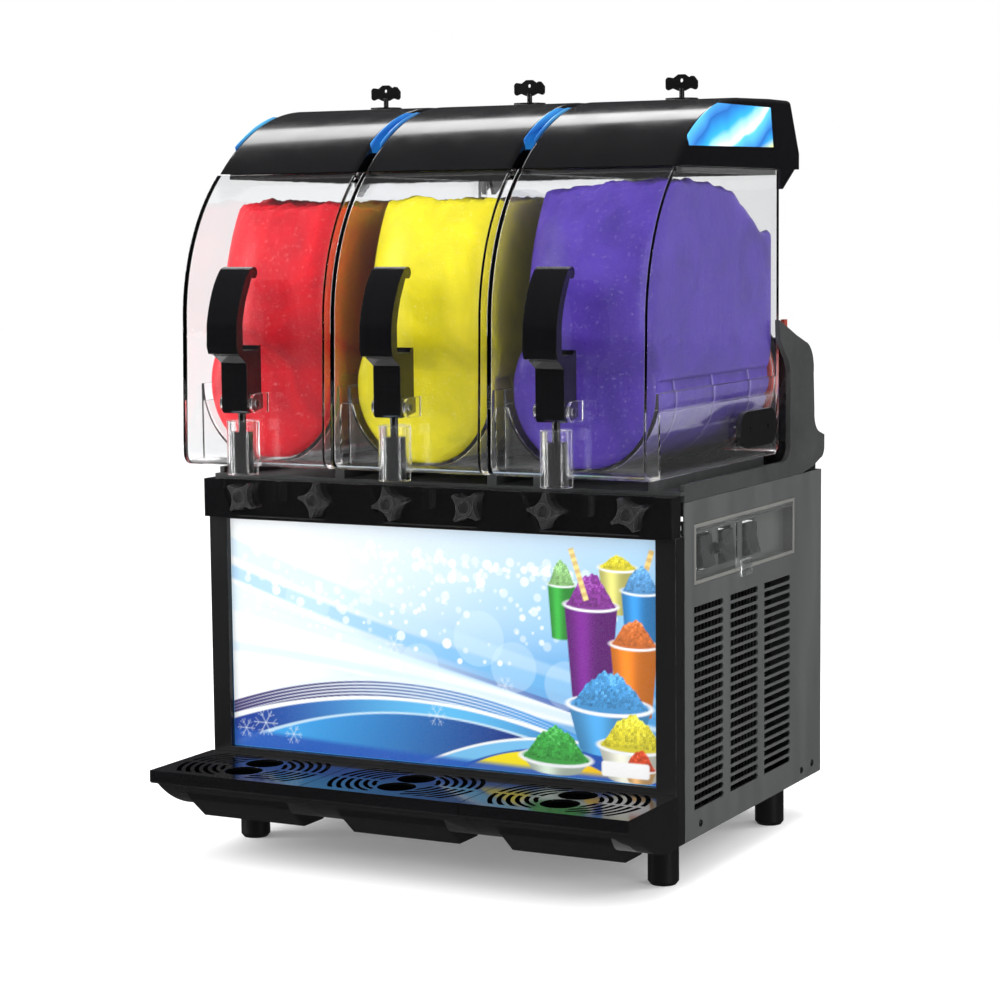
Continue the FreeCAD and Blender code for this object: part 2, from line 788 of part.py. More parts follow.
def auger(name, centre):
    """A helical scraper round the drum, driven at its front end by the shaft through the drum."""
    flight = new_body()
    drawing = sketch_on(flight, "YZ", 0)
    start, end = -158, 142
    draw(drawing, [rectangle(start, d.auger_inner, start + 4, d.auger_radius)])
    helix = flight.newObject("PartDesign::AdditiveHelix", "helix")
    helix.Profile = drawing
    helix.ReferenceAxis = (drawing, ["H_Axis"])
    helix.Mode = 0
    helix.Pitch = d.auger_pitch.value
    helix.Height = end - start
    helix.LeftHanded = False
    helix.Reversed = False
    place(flight, centre, 0, d.drum_level)
    spot = (centre, d.drum_level)
    shaft = cylinder("y", d.shaft_radius, -168, 234, spot)
    hub = cone("y", 12, 20, -172, -150, spot)
    arms = [
        box((centre - 5, -158, d.drum_level + 10), (centre + 5, -150, d.drum_level + d.auger_radius - 3)),
        box((centre - 5, -158, d.drum_level - d.auger_radius + 3), (centre + 5, -150, d.drum_level - 10)),
    ]
    ties = [
        box(
            (centre - 5, -157, d.drum_level + level - 2.5),
            (centre + 5, end, d.drum_level + level + 2.5),
        )
        for level in (62, -62)
    ]
    keep(fuse(flight, shaft, hub, *arms, *ties), f"auger_{name}")


# ---------------------------------------------------------------- bowls

def bowl_outline(inset):
    """Side view of a bowl: an upright back, a flat bottom and a front that arches back to the lip."""
    reach = d.bowl_curve - inset
    centre_y = d.bowl_face + d.bowl_curve
    top = d.bowl_top + (1 if inset.value else 0)
    lip = centre_y - root(reach * reach - (top - d.bowl_knee) * (top - d.bowl_knee))
    corner = 14 - inset
    low, rear, chin = d.bowl_low + inset, d.bowl_rear - inset, d.bowl_chin + inset
    return [
        (lip, top, reach), (d.bowl_face + inset, d.bowl_knee),
        (chin, 485), (chin, low + corner, corner), (chin + corner, low),
        (rear - corner, low, corner), (rear, low + corner), (rear, top),
    ]


def bowl(name, centre):
    """A clear bowl: straight side walls, a round trough that starts at a ledge behind the upright
    front, and the tap tube in front. The pockets beside the trough are open to the outside."""
    shell = new_body()
    pad(shell, "YZ", -bowl_half, bowl_half, bowl_outline(size(0)))
    wall = d.bowl_wall
    rooms = []
    for _ in range(3):
        room = new_body()
        pad(room, "YZ", -bowl_half + wall, bowl_half - wall, bowl_outline(wall))
        rooms.append(room)
    trough = cylinder("y", d.trough_radius, d.bowl_ledge - 1, d.bowl_rear - wall, (0, d.drum_level))
    upper = common(rooms[0], box((-100, -300, d.drum_level), (100, 300, 900)))
    lower = common(rooms[1], trough)
    front = common(rooms[2], box((-100, -300, 400), (100, d.bowl_ledge, d.drum_level + 1)))
    behind = cylinder("y", 86, 100, 200, (0, d.drum_level))
    pockets = cut(
        box(
            (-bowl_half + wall, d.bowl_ledge + wall, d.bowl_low - 1),
            (bowl_half - wall, d.bowl_rear - 6, d.drum_level - 20),
        ),
        cylinder("y", d.trough_radius + 3.5, -300, 300, (0, d.drum_level)),
    )
    tap = (0, d.tap_line)
    tube = cylinder("z", d.tube_radius, d.tube_low, d.tube_top, tap)
    web = box((-9, d.tap_line + 8, d.bowl_low + 2), (9, d.bowl_chin + 3, d.tube_top - 2))
    port = cylinder("y", 5.5, d.tap_line, d.bowl_chin + 18, (0, 467))
    bore = cylinder("z", d.tube_bore, d.tube_low - 1, d.tube_top + 1, tap)
    ears = []
    for side in (-1, 1):
        inner, outer = d.lever_half + 0.8, d.lever_half + 4.3
        ends = (inner, outer) if side > 0 else (-outer, -inner)
        plate = box(
            (ends[0], d.tap_line - 2, d.pivot_level - 11), (ends[1], d.bowl_chin + 3, d.pivot_level + 11)
        )
        nose = cylinder("x", 11, ends[0], ends[1], (d.tap_line - 2, d.pivot_level))
        ears.append(fuse(plate, nose))
    pivots = cylinder("x", d.pivot_radius + d.fit, -40, 40, (d.tap_line, d.pivot_level))
    solid = fuse(shell, tube, web, *ears)
    whole = cut(solid, upper, lower, front, behind, pockets, port, bore, pivots)
    place(whole, centre, 0, 0)
    keep(whole, f"bowl_{name}")


def side_bumper():
    """A black oval pad on the outer side of the right bowl."""
    pad_body = new_body()
    face = bowl_centre(2) + bowl_half
    low, high, level, reach = 44, 115, 493, 21
    outline = [
        (low, level - reach), (high, level - reach, reach), (high + reach, level, reach),
        (high, level + reach), (low, level + reach, reach), (low - reach, level, reach),
    ]
    pad(pad_body, "YZ", face, face + 6.5, outline)
    pocket(
        pad_body, "YZ", face + 5, face + 8,
        ("circle", low + 8, level, 3), ("circle", high - 8, level, 3),
    )
    keep(pad_body, "side_bumper")


# ---------------------------------------------------------------- taps

def tap_piston(name, centre):
    """The plunger that closes the tap tube, with a slim rod up into the lever."""
    tap = (centre, d.tap_line)
    plunger = cylinder("z", d.piston_radius, d.tube_low + 2, d.tube_top - 12, tap)
    rod = cylinder("z", 4.5, d.tube_top - 13, d.pivot_level + 12, tap)
    keep(fuse(plunger, rod), f"tap_piston_{name}")


def tap_lever(name, centre):
    """The handle: a channel block on two trunnions, and a wider curved paddle with a rolled tip."""
    front, back = d.tap_line - 15, d.tap_line + 15
    low, top, root = 521, 592, -272
    tip = (-246, 679)
    lever = new_body()
    pad(lever, "YZ", -d.lever_half, d.lever_half, [
        (front, low + 3), (front + 3, low), (back, low + 5), (back, 597), (back - 5, 597),
        (back - 8, top), (root - 4, top), (root - 4, 587), (front, 578),
    ])
    pocket(lever, "YZ", -13, 13, rectangle(front + 4, low - 1, back + 1, 576))
    pad(lever, "YZ", -d.paddle_half, d.paddle_half, [
        (-282, 589), (root, 587), (root, 622, -150), (-263, 652), (-251, 674), (-247, 673),
        (-247, 685.3), (-254, 683, 90), (-273, 656, 150), (-284, 622), (-285, 597),
    ])
    pad(lever, "YZ", -d.paddle_half, d.paddle_half, ("circle", *tip, 6.5))
    pad(lever, "YZ", -d.lever_half - 4.3, -14, ("circle", d.tap_line, d.pivot_level, d.pivot_radius))
    pad(lever, "YZ", 14, d.lever_half + 4.3, ("circle", d.tap_line, d.pivot_level, d.pivot_radius))
    place(lever, centre, 0, 0)
    keep(lever, f"tap_lever_{name}")


# ---------------------------------------------------------------- lids and keys

def lid_outline(inset, low):
    """Side view of a lid: an arched front, a nearly level top and a raked back."""
    crest_level = d.lid_top - 2 - inset
    reach = d.lid_curve - inset
    centre_z = d.lid_top - 2 - d.lid_curve
    rise = size(low) - centre_z
    nose = d.lid_crest - root(reach * reach - rise * rise)
    back = d.lid_back - inset
    return [
        (nose, low), (back, low), (back, 810), (back - 31, d.lid_top - inset),
        (d.lid_crest + 90, d.lid_top - inset), (d.lid_crest, crest_level, reach),
    ]


def lid(name, centre):
    """A black lid shell with a rim, printed side windows, a locating lip and two rear hooks."""
    edge = d.lid_width / 2
    shell = new_body()
    pad(shell, "YZ", -edge, edge, lid_outline(size(0), d.lid_low))
    rounded(
        shell, 5,
        lambda e: not runs_along(e, AXIS_X) and e.BoundBox.ZMax > 815 and e.BoundBox.YMax < 200
        or runs_along(e, AXIS_X) and e.BoundBox.ZMin > 860 and e.BoundBox.YMin > 180,
    )
    window = [
        (-104, 813), (146, 816), (137, 862), (-22, 862, 250), (-108, 824),
    ]
    for low, high in ((-edge - 1, -edge + 1), (edge - 1, edge + 1)):
        pocket(shell, "YZ", low, high, window)
    wall = d.lid_wall
    room = new_body()
    pad(room, "YZ", -edge + wall, edge - wall, lid_outline(wall, d.lid_low - 1))
    lip_outer = bowl_half - d.bowl_wall - 0.7
    lip = cut(
        box((-lip_outer, -122, 784), (lip_outer, d.bowl_rear - 5, d.lid_low + 3)),
        box((-lip_outer + 2.2, -119.8, 783), (lip_outer - 2.2, d.bowl_rear - 7.2, d.lid_low + 4)),
    )
    hooks = []
    for low, high in ((-edge, -edge + 4), (edge - 4, edge)):
        hook = new_body()
        pad(hook, "YZ", low, high, [
            (162, d.lid_low + 6), (171, 768), (176, 768), (215, d.lid_low), (215, d.lid_low + 6),
        ])
        hooks.append(hook)
    bore = cylinder("z", 3 + d.fit, d.lid_top - 10, d.lid_top + 5, (0, d.key_line))
    whole = cut(fuse(cut(shell, room), lip, *hooks), bore)
    place(whole, centre, 0, 0)
    keep(whole, f"lid_{name}")


def lock_key(name, centre):
    """A wing key on a round rosette, with its stem through the lid and a cam below."""
    base = d.lid_top + 0.2
    spot = (0, d.key_line)
    rosette = cylinder("z", 19, base, base + 1.6, spot)
    stem = cylinder("z", 3, base - 14, base + 13, spot)
    cam = box((-4, d.key_line - 4, base - 14), (16, d.key_line + 4, base - 10))
    wing = new_body()
    pad(wing, "XZ", -1.6, 1.6, [
        (-4, base + 10), (4, base + 10), (11, base + 13), (17, base + 11, 4),
        (20, base + 15), (20, base + 21), (16, base + 26, 4), (10, base + 25), (4, base + 29),
        (-4, base + 29), (-10, base + 25), (-16, base + 26, 4), (-20, base + 21),
        (-20, base + 15, 4), (-17, base + 11), (-11, base + 13),
    ], ("circle", 0, base + 22, 2.3))
    place(wing, 0, d.key_line, 0)
    whole = fuse(rosette, stem, cam, wing)
    place(whole, centre, 0, 0)
    keep(whole, f"lock_key_{name}")


# ---------------------------------------------------------------- drip trays

def tray_outline(inset):
    """Side view of a tray: a shallow lip in front, and a belly that deepens to the back."""
    front, back = d.tray_front + inset, d.tray_back - inset
    floor = d.tray_floor + inset
    top = d.tray_top + (1 if inset.value else 0)
    return [
        (front, top), (front, d.tray_lip + inset + 2), (front + 3, d.tray_lip + inset),
        (front + 12, d.tray_lip + inset, 150), (back - 38, floor + 1), (back, floor), (back, top),
    ]


def tray_belly(inset):
    """Side view of the deeper drip channel in the middle of a tray."""
    floor = d.tray_floor - 5 + inset
    return [
        (-278 + inset, 94), (-262 + inset, 72), (-232 + inset, floor), (-190 - inset, floor),
        (-178 - inset, 62), (-178 - inset, 94),
    ]


def drip_tray(name, centre):
    edge = d.tray_width / 2
    tray = new_body()
    pad(tray, "YZ", -edge, edge, tray_outline(size(0)))
    pad(tray, "YZ", -68, 68, tray_belly(size(0)))
    wall = d.tray_wall
    pocket(tray, "YZ", -edge + wall, edge - wall, tray_outline(wall))
    pocket(tray, "YZ", -68 + wall, 68 - wall, tray_belly(wall))
    place(tray, centre, 0, 0)
    keep(tray, f"drip_tray_{name}")


GRILLE_RINGS = (36, 46, 56, 66, 76, 86)
RING_HALF = 2.7


def tray_grille(name, centre):
    """A plate with two round drains side by side and rings of curved slots about them."""
    middle_y = (d.tray_front + d.tray_back) / 2
    low, high = d.grille_top - 3, d.grille_top
    edge = d.tray_width / 2
    plate = box((-edge, d.tray_front, low), (edge, d.tray_back, high))
    drains = [
        cylinder("z", 22, low - 1, high + 1, (0, middle_y + shift)) for shift in (-22, 23)
    ]
    rings = []
    for radius in GRILLE_RINGS:
        rings.append(cut(
            cylinder("z", radius + RING_HALF, low - 1, high + 1, (0, middle_y)),
            cylinder("z", radius - RING_HALF, low - 2, high + 2, (0, middle_y)),
        ))
    windows = []
    for x_low, x_high in ((-92, -20), (20, 92)):
        for y_low, y_high in ((-53, -4), (3, 54)):
            windows.append(box(
                (x_low, middle_y + y_low, low - 1), (x_high, middle_y + y_high, high + 1)
            ))
    guard = fuse(*[
        cylinder("z", 26, low - 2, high + 2, (0, middle_y + shift)) for shift in (-22, 23)
    ])
    slots = cut(common(fuse(*rings), fuse(*windows)), guard)
    studs = [
        box((x - 6, y - 2, low - 6), (x + 6, y + 2, low))
        for x in (-80, 80) for y in (d.tray_front + 5, d.tray_back - 5)
    ]
    whole = fuse(cut(plate, fuse(*drains, slots)), *studs)
    place(whole, centre, 0, 0)
    keep(whole, f"tray_grille_{name}")


# ---------------------------------------------------------------- assembly

def build():
    base_pan()
    feet()
    front_frame()
    graphic_panel()
    light_box()
    side_panel("left_side_panel", -half, window=False)
    side_panel("right_side_panel", half - d.sheet, window=True)
    rear_panel()
    power_inlet()
    control_box()
    for label, y in ROCKERS.items():
        rocker(label, y)
    thermostat_knob()
    control_flap()
    front_beam()
    deck_housing()
    bowl_bulkhead()
    rear_cover()
    light_contacts()
    screws()
    compressor()
    condenser()
    fan_motor()
    condenser_fan()
    evaporator_drums()
    bowl_gaskets()
    gear_motors()
    side_bumper()
    for n, name in enumerate(BOWL_NAMES):
        centre = bowl_centre(n)
        bowl(name, centre)
        auger(name, centre)
        lid(name, centre)
        lock_key(name, centre)
        tap_lever(name, centre)
        tap_piston(name, centre)
        for side in (0, 1):
            number = 2 * n + side + 1
            star_knob(number, centre + (2 * side - 1) * KNOB_OFFSET, KNOB_ANGLES[number - 1])
        tray_centre = (n - 1) * d.tray_pitch
        drip_tray(name, tray_centre)
        tray_grille(name, tray_centre)


def check():
    """Stops if any object failed to recompute, or a sub-part has no sound solid."""
    failed = [o for o in doc.Objects if any(word in o.State for word in ("Invalid", "Error"))]
    for obj in failed:
        owners = ", ".join(sorted({f"{user.Name} ({user.Label})" for user in obj.InList}))
        print(f"{obj.Name} ({obj.Label}), used by {owners}: {obj.State}")
    if failed:
        raise RuntimeError("some objects failed to recompute")
    for obj in finished:
        if obj.Shape.isNull() or not obj.Shape.isValid() or not obj.Shape.Solids:
            raise RuntimeError(f"{obj.Label} has no valid solid")


def write():
    os.makedirs("parts", exist_ok=True)
    for obj in finished:
        obj.Shape.exportStep(f"parts/{obj.Label}.step")


build()
doc.recompute()
check()
write()
for obj in finished:
    solids, volume = len(obj.Shape.Solids), obj.Shape.Volume / 1000
    print(f"{obj.Label:22s} {solids:2d} solid(s) {volume:10.1f} cm3")
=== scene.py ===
import bmesh
import bpy
import math
import numpy as np
from mathutils import Matrix, Vector, noise


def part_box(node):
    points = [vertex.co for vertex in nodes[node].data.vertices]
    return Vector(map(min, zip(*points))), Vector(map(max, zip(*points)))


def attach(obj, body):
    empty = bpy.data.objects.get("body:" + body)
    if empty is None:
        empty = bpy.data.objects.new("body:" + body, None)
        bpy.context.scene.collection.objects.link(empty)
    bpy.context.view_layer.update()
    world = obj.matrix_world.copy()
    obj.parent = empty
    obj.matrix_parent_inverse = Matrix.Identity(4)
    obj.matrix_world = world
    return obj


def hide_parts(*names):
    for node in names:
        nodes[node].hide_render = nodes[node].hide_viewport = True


# The looks of a slush machine with three clear bowls. Metres, +Z up, +Y to the back.

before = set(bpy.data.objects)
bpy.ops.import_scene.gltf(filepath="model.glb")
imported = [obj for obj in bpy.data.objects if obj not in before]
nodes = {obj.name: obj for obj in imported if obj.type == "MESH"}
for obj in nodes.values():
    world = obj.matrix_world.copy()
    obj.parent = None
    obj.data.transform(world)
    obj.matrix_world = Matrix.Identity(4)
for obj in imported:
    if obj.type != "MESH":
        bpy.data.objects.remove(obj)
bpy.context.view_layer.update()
SIDES = ("left", "centre", "right")


def middle(node):
    low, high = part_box(node)
    return (low + high) / 2


# ---------------------------------------------------------------- node trees

class Tree:
    """The nodes of a material or a world, with short calls for the ones that are used most."""

    def __init__(self, name, owner=None):
        self.owner = owner or bpy.data.materials.new(name)
        self.owner.use_nodes = True
        self.tree = self.owner.node_tree
        self.tree.nodes.clear()
        self.place = self.add("TexCoord").outputs["Object"]

    def add(self, kind, inputs=None, **settings):
        node = self.tree.nodes.new("ShaderNode" + kind)
        for key, value in settings.items():
            setattr(node, key, value)
        for key, value in (inputs or {}).items():
            self.feed(node.inputs[key], value)
        return node

    def feed(self, socket, value):
        if isinstance(value, bpy.types.NodeSocket):
            self.tree.links.new(value, socket)
        else:
            socket.default_value = value

    def stretched(self, scale):
        return self.add("Mapping", {"Vector": self.place, "Scale": scale}).outputs[0]

    def noise(self, scale, detail=3.0, place=None, roughness=0.5, distortion=0.0):
        return self.add("TexNoise", {
            "Vector": place or self.place, "Scale": scale, "Detail": detail,
            "Roughness": roughness, "Distortion": distortion,
        }).outputs["Fac"]

    def number(self, operation, *values, clamp=False):
        node = self.add("Math", operation=operation, use_clamp=clamp)
        for socket, value in zip(node.inputs, values):
            self.feed(socket, value)
        return node.outputs[0]

    def spread(self, value, low, high, out_low=0.0, out_high=1.0):
        """Maps low..high to out_low..out_high, held at the ends."""
        return self.add("MapRange", {
            0: value, 1: low, 2: high, 3: out_low, 4: out_high,
        }).outputs[0]

    def ramp(self, value, *stops):
        node = self.add("ValToRGB", {"Fac": value})
        points = node.color_ramp.elements
        while len(points) < len(stops):
            points.new(0.5)
        for point, (position, colour) in zip(points, stops):
            point.position, point.color = position, (*colour, 1)
        return node.outputs["Color"]

    def blend(self, share, first, second):
        node = self.add("Mix", data_type="RGBA")
        self.feed(node.inputs[0], share)
        for socket, colour in ((node.inputs[6], first), (node.inputs[7], second)):
            self.feed(socket, colour if isinstance(colour, bpy.types.NodeSocket) else (*colour, 1))
        return node.outputs[2]

    def bump(self, height, distance, strength=1.0, normal=None):
        inputs = {"Height": height, "Distance": distance, "Strength": strength}
        if normal:
            inputs["Normal"] = normal
        return self.add("Bump", inputs).outputs[0]

    def soft_edges(self, radius):
        return self.add("Bevel", {"Radius": radius}, samples=4).outputs[0]

    def edges(self, softened):
        """1 where an edge is, from how far the softened normal leaves the true one."""
        true = self.add("NewGeometry").outputs["Normal"]
        dot = self.add("VectorMath", {0: softened, 1: true}, operation="DOT_PRODUCT").outputs["Value"]
        return self.spread(dot, 0.985, 0.86)

    def single_reflection(self):
        """1 for rays that came by one mirror reflection, a little less for each pass through glass."""
        path = self.add("LightPath").outputs
        once = self.number("COMPARE", path["Glossy Depth"], 1.0, 0.5)
        within = self.number("MULTIPLY_ADD", path["Transmission Depth"], -0.15, 1.0)
        return self.number("MULTIPLY", once, within, clamp=True)

    def finish(self, shader, output="OutputMaterial"):
        self.tree.links.new(shader, self.add(output).inputs["Surface"])
        return self.owner

    def principled(self, **inputs):
        named = {key.replace("_", " ").title().replace("Ior", "IOR"): v for key, v in inputs.items()}
        for key in ("Base Color", "Emission Color"):
            if isinstance(named.get(key), tuple):
                named[key] = (*named[key], 1)
        return self.add("BsdfPrincipled", named).outputs[0]


# ---------------------------------------------------------------- materials

def moulded(name, colour, roughness, grain=0.00004, grain_scale=1400, radius=0.0009, edge_wear_and_highlight=0.35,
            coat=0.0):
    """Moulded plastic: fine grain, faint flow mottling, lighter edges (partly rubbed wear, partly painted
    highlight) and a little dust.
    """
    m = Tree(name)
    softened = m.soft_edges(radius)
    flow = m.noise(9, 4, distortion=0.6)
    specks = m.noise(600, 2)
    rubbed = m.number("MULTIPLY", m.edges(softened), m.spread(m.noise(45, 4), 0.35, 0.65), clamp=True)
    light = tuple(min(1.0, c * 2.2 + 0.02) for c in colour)
    deep = tuple(c * 0.75 for c in colour)
    base = m.blend(m.spread(flow, 0.3, 0.7), deep, colour)
    # Lightens the edges: partly rubbed wear, partly a painted highlight; a large share makes it a plain
    # painted highlight.
    base = m.blend(m.number("MULTIPLY", rubbed, edge_wear_and_highlight), base, light)
    dust = m.number("MULTIPLY", m.spread(specks, 0.62, 0.75), 0.12)
    base = m.blend(dust, base, light)
    rough = m.spread(m.number("ADD", m.noise(28, 5), m.number("MULTIPLY", rubbed, 0.3)),
                     0.3, 0.8, roughness * 0.75, roughness * 1.35)
    height = m.noise(grain_scale, 2)
    normal = m.bump(height, grain, 0.9, softened)
    normal = m.bump(m.noise(14, 2), 0.0004, 0.25, normal)
    return m.finish(m.principled(
        base_color=base, roughness=rough, normal=normal, coat_weight=coat, coat_roughness=0.08,
    ))


def painted(name, colour, roughness):
    """Powder-coated sheet: orange peel, rubbed edges and streaks from wiping."""
    m = Tree(name)
    softened = m.soft_edges(0.0008)
    peel = m.noise(420, 3)
    streaks = m.noise(6, 5, place=m.stretched((1, 5, 0.6)))
    rubbed = m.number("MULTIPLY", m.edges(softened), m.spread(m.noise(60, 4), 0.4, 0.62), clamp=True)
    base = m.blend(m.spread(streaks, 0.35, 0.7), tuple(c * 0.8 for c in colour), colour)
    base = m.blend(m.number("MULTIPLY", rubbed, 0.4), base, (0.26, 0.26, 0.26))
    rough = m.spread(streaks, 0.3, 0.7, roughness * 0.85, roughness * 1.2)
    normal = m.bump(peel, 0.00006, 0.8, softened)
    return m.finish(m.principled(base_color=base, roughness=rough, normal=normal))


def metal(name, colour, roughness, along):
    """Brushed or machined metal: fine scratches along one direction."""
    m = Tree(name)
    softened = m.soft_edges(0.0006)
    scratches = m.noise(60, 6, place=m.stretched(along), roughness=0.75)
    base = m.blend(m.spread(scratches, 0.3, 0.7), tuple(c * 0.8 for c in colour), colour)
    rough = m.spread(scratches, 0.3, 0.7, roughness * 0.7, roughness * 1.3)
    normal = m.bump(scratches, 0.00005, 0.6, softened)
    return m.finish(m.principled(base_color=base, roughness=rough, normal=normal, metallic=1.0))


def clear(name, tint, roughness, haze=0.5):
    """Clear plastic that lets lamps through, with faint scuffs and moulding ripples."""
    m = Tree(name)
    softened = m.soft_edges(0.0016)
    ripple = m.bump(m.noise(16, 3), 0.0006, 0.3, softened)
    scuffs = m.spread(m.noise(160, 6, roughness=0.8), 0.62, 0.8, roughness, roughness + 0.12 * haze)
    glass = m.principled(
        base_color=tint, roughness=scuffs, transmission_weight=1.0, ior=1.45, normal=ripple,
    )
    passing = m.add("BsdfTransparent", {"Color": (*tint, 1)}).outputs[0]
    shadow = m.add("LightPath").outputs["Is Shadow Ray"]
    mixed = m.add("MixShader", {0: shadow, 1: glass, 2: passing}).outputs[0]
    return m.finish(mixed)


def slush(name, colour, shade):
    """Crushed ice in syrup: fine crystals, wet gloss and light that scatters inside it."""
    m = Tree(name)
    swirl = m.noise(11, 5, distortion=1.4)
    crystals = m.add("TexVoronoi", {"Vector": m.place, "Scale": 420.0}).outputs["Distance"]
    flakes = m.noise(210, 5, roughness=0.7)
    pale = tuple(0.55 * c + 0.45 for c in colour)
    base = m.blend(m.spread(swirl, 0.3, 0.7), shade, colour)
    base = m.blend(m.number("MULTIPLY", m.spread(flakes, 0.58, 0.8), 0.35), base, pale)
    normal = m.bump(crystals, 0.0004, 0.35)
    normal = m.bump(m.noise(34, 4), 0.002, 0.5, normal)
    return m.finish(m.principled(
        base_color=base, roughness=m.spread(flakes, 0.3, 0.7, 0.25, 0.5), normal=normal,
        subsurface_weight=0.25, subsurface_radius=tuple(0.2 + c for c in colour),
        subsurface_scale=0.012, specular_ior_level=0.28,
    ))


def printed(name, strength):
    """Ink on film, lit partly from behind: the mesh's colours under a fine print screen."""
    m = Tree(name)
    ink = m.add("VertexColor", layer_name="ink").outputs["Color"]
    screen = m.spread(m.noise(900, 2), 0.3, 0.7)
    base = m.blend(m.number("MULTIPLY", screen, 0.04), ink, (1, 1, 1))
    dark = m.blend(m.spread(screen, 0, 1, 0.52, 0.58), base, (0, 0, 0))
    return m.finish(m.principled(
        base_color=dark, roughness=m.spread(m.noise(40, 3), 0.3, 0.7, 0.16, 0.24),
        emission_color=base, emission_strength=strength,
        normal=m.bump(m.noise(1200, 2), 0.00002, 0.5),
    ))


def backlight(name):
    """The picture's ground: white at the top, through pale to deep blue, in soft slanting veils."""
    m = Tree(name)
    low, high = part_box("graphic_panel")
    spot = m.add("SeparateXYZ", {0: m.place})
    across = m.spread(spot.outputs[0], low.x, high.x)
    up = m.spread(spot.outputs[2], low.z, high.z)
    bend = m.noise(3.2, 2, place=m.stretched((1.0, 1.0, 2.6)))
    slope = m.number("ADD", up, m.number("MULTIPLY", m.number("SUBTRACT", bend, 0.5), 0.5))
    slope = m.number("ADD", slope, m.number("MULTIPLY", m.number("SUBTRACT", across, 0.5), 0.25))
    sky = m.ramp(slope, (0.0, (0.05, 0.30, 0.72)), (0.28, (0.22, 0.58, 0.9)),
                 (0.52, (0.55, 0.8, 0.96)), (0.72, (0.86, 0.95, 1.0)), (0.95, (1.0, 1.0, 1.0)))
    return m.finish(m.principled(
        base_color=sky, roughness=m.spread(m.noise(40, 3), 0.3, 0.7, 0.14, 0.22),
        emission_color=sky, emission_strength=0.45, normal=m.bump(m.noise(900, 2), 0.00002, 0.5),
    ))


def window_print(name):
    """Blue and white swirls with a yellow-green corner, for the lids' side windows."""
    m = Tree(name)
    spot = m.add("SeparateXYZ", {0: m.place})
    low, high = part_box("lid_right")
    along = m.spread(spot.outputs[1], low.y, high.y)
    up = m.spread(spot.outputs[2], low.z, high.z)
    sweep = m.number("ADD", m.number("MULTIPLY", along, 2.1), m.number("MULTIPLY", up, -1.5))
    sweep = m.number("ADD", sweep, m.number("MULTIPLY", m.noise(7, 3), 0.9))
    bands = m.number("FRACT", sweep)
    blue = m.ramp(bands, (0.0, (0.02, 0.12, 0.42)), (0.3, (0.03, 0.36, 0.78)),
                  (0.5, (0.5, 0.83, 0.97)), (0.58, (0.95, 0.99, 1.0)), (0.66, (0.1, 0.5, 0.86)),
                  (1.0, (0.03, 0.16, 0.5)))
    corner = m.spread(m.number("SUBTRACT", along, up), 0.2, 0.34)
    warm = m.blend(corner, blue, (0.85, 0.78, 0.05))
    return m.finish(m.principled(
        base_color=warm, roughness=m.spread(m.noise(60, 3), 0.3, 0.7, 0.12, 0.22), coat_weight=0.4,
        coat_roughness=0.05, emission_color=warm, emission_strength=0.15,
    ))


MATERIALS = {
    "gloss": moulded("black_gloss", (0.0025, 0.0025, 0.003), 0.15, grain=0.00001, edge_wear_and_highlight=0.25, coat=0.4),
    "satin": moulded("black_satin", (0.004, 0.004, 0.0045), 0.27, grain=0.00003, edge_wear_and_highlight=0.35),
    "grained": moulded("grained_grey", (0.042, 0.044, 0.044), 0.5, grain=0.00022, grain_scale=1100),
    # The knobs' grey, lighter than the other black plastics, and their strongly lightened edges are painted
    # highlight.
    "knob": moulded("knob_plastic_with_painted_highlights", (0.024, 0.024, 0.025), 0.24, grain=0.00002, edge_wear_and_highlight=1.6, coat=0.5),
    "rubber": moulded("rubber", (0.005, 0.005, 0.005), 0.4, grain=0.00004, edge_wear_and_highlight=0.2),
    "paint": painted("powder_coat", (0.007, 0.007, 0.0075), 0.3),
    # A grey that is partly the panels' own tone and partly painted sheen: about ten times lighter than the
    # frame's black paint.
    "sheet": painted("satin_powder_coat_with_painted_sheen", (0.072, 0.075, 0.075), 0.4),
    "enamel": painted("compressor_enamel", (0.008, 0.008, 0.01), 0.2),
    "white": moulded("white_plastic", (0.8, 0.8, 0.78), 0.45),
    "contact": moulded("red_contact", (0.3, 0.045, 0.03), 0.4),
    "seal": moulded("red_silicone", (0.5, 0.03, 0.02), 0.4, grain=0.00002),
    "panel": moulded("switch_panel", (0.15, 0.15, 0.14), 0.45),
    "steel": metal("brushed_steel", (0.62, 0.63, 0.64), 0.26, (1, 0.05, 1)),
    "cast": metal("cast_metal", (0.45, 0.46, 0.47), 0.45, (1, 1, 1)),
    # Near-black fins are painted shade: they keep the side panels' vents dark inside.
    "fins": painted("fins_darkened_as_painted_shade", (0.006, 0.006, 0.007), 0.4),
    "zinc": metal("black_zinc", (0.12, 0.12, 0.125), 0.32, (1, 1, 1)),
    "bowl": clear("clear_bowl", (0.985, 0.99, 0.995), 0.0),
    "flap": clear("smoked_flap", (0.78, 0.8, 0.8), 0.0, haze=0.3),
    "picture": backlight("backlit_picture"),
    "window": window_print("window_print"),
    "ink": printed("printed_ink", 0.42),
}
SLUSH = {
    "left": slush("slush_red", (0.66, 0.004, 0.014), (0.38, 0.002, 0.012)),
    "centre": slush("slush_yellow", (0.78, 0.66, 0.006), (0.52, 0.47, 0.006)),
    "right": slush("slush_purple", (0.075, 0.034, 0.33), (0.045, 0.02, 0.22)),
}
AUGER = {
    "left": moulded("auger_stained_red", (0.6, 0.05, 0.06), 0.35),
    "centre": moulded("auger_stained_yellow", (0.72, 0.68, 0.15), 0.35),
    "right": moulded("auger_stained_purple", (0.2, 0.15, 0.48), 0.35),
}

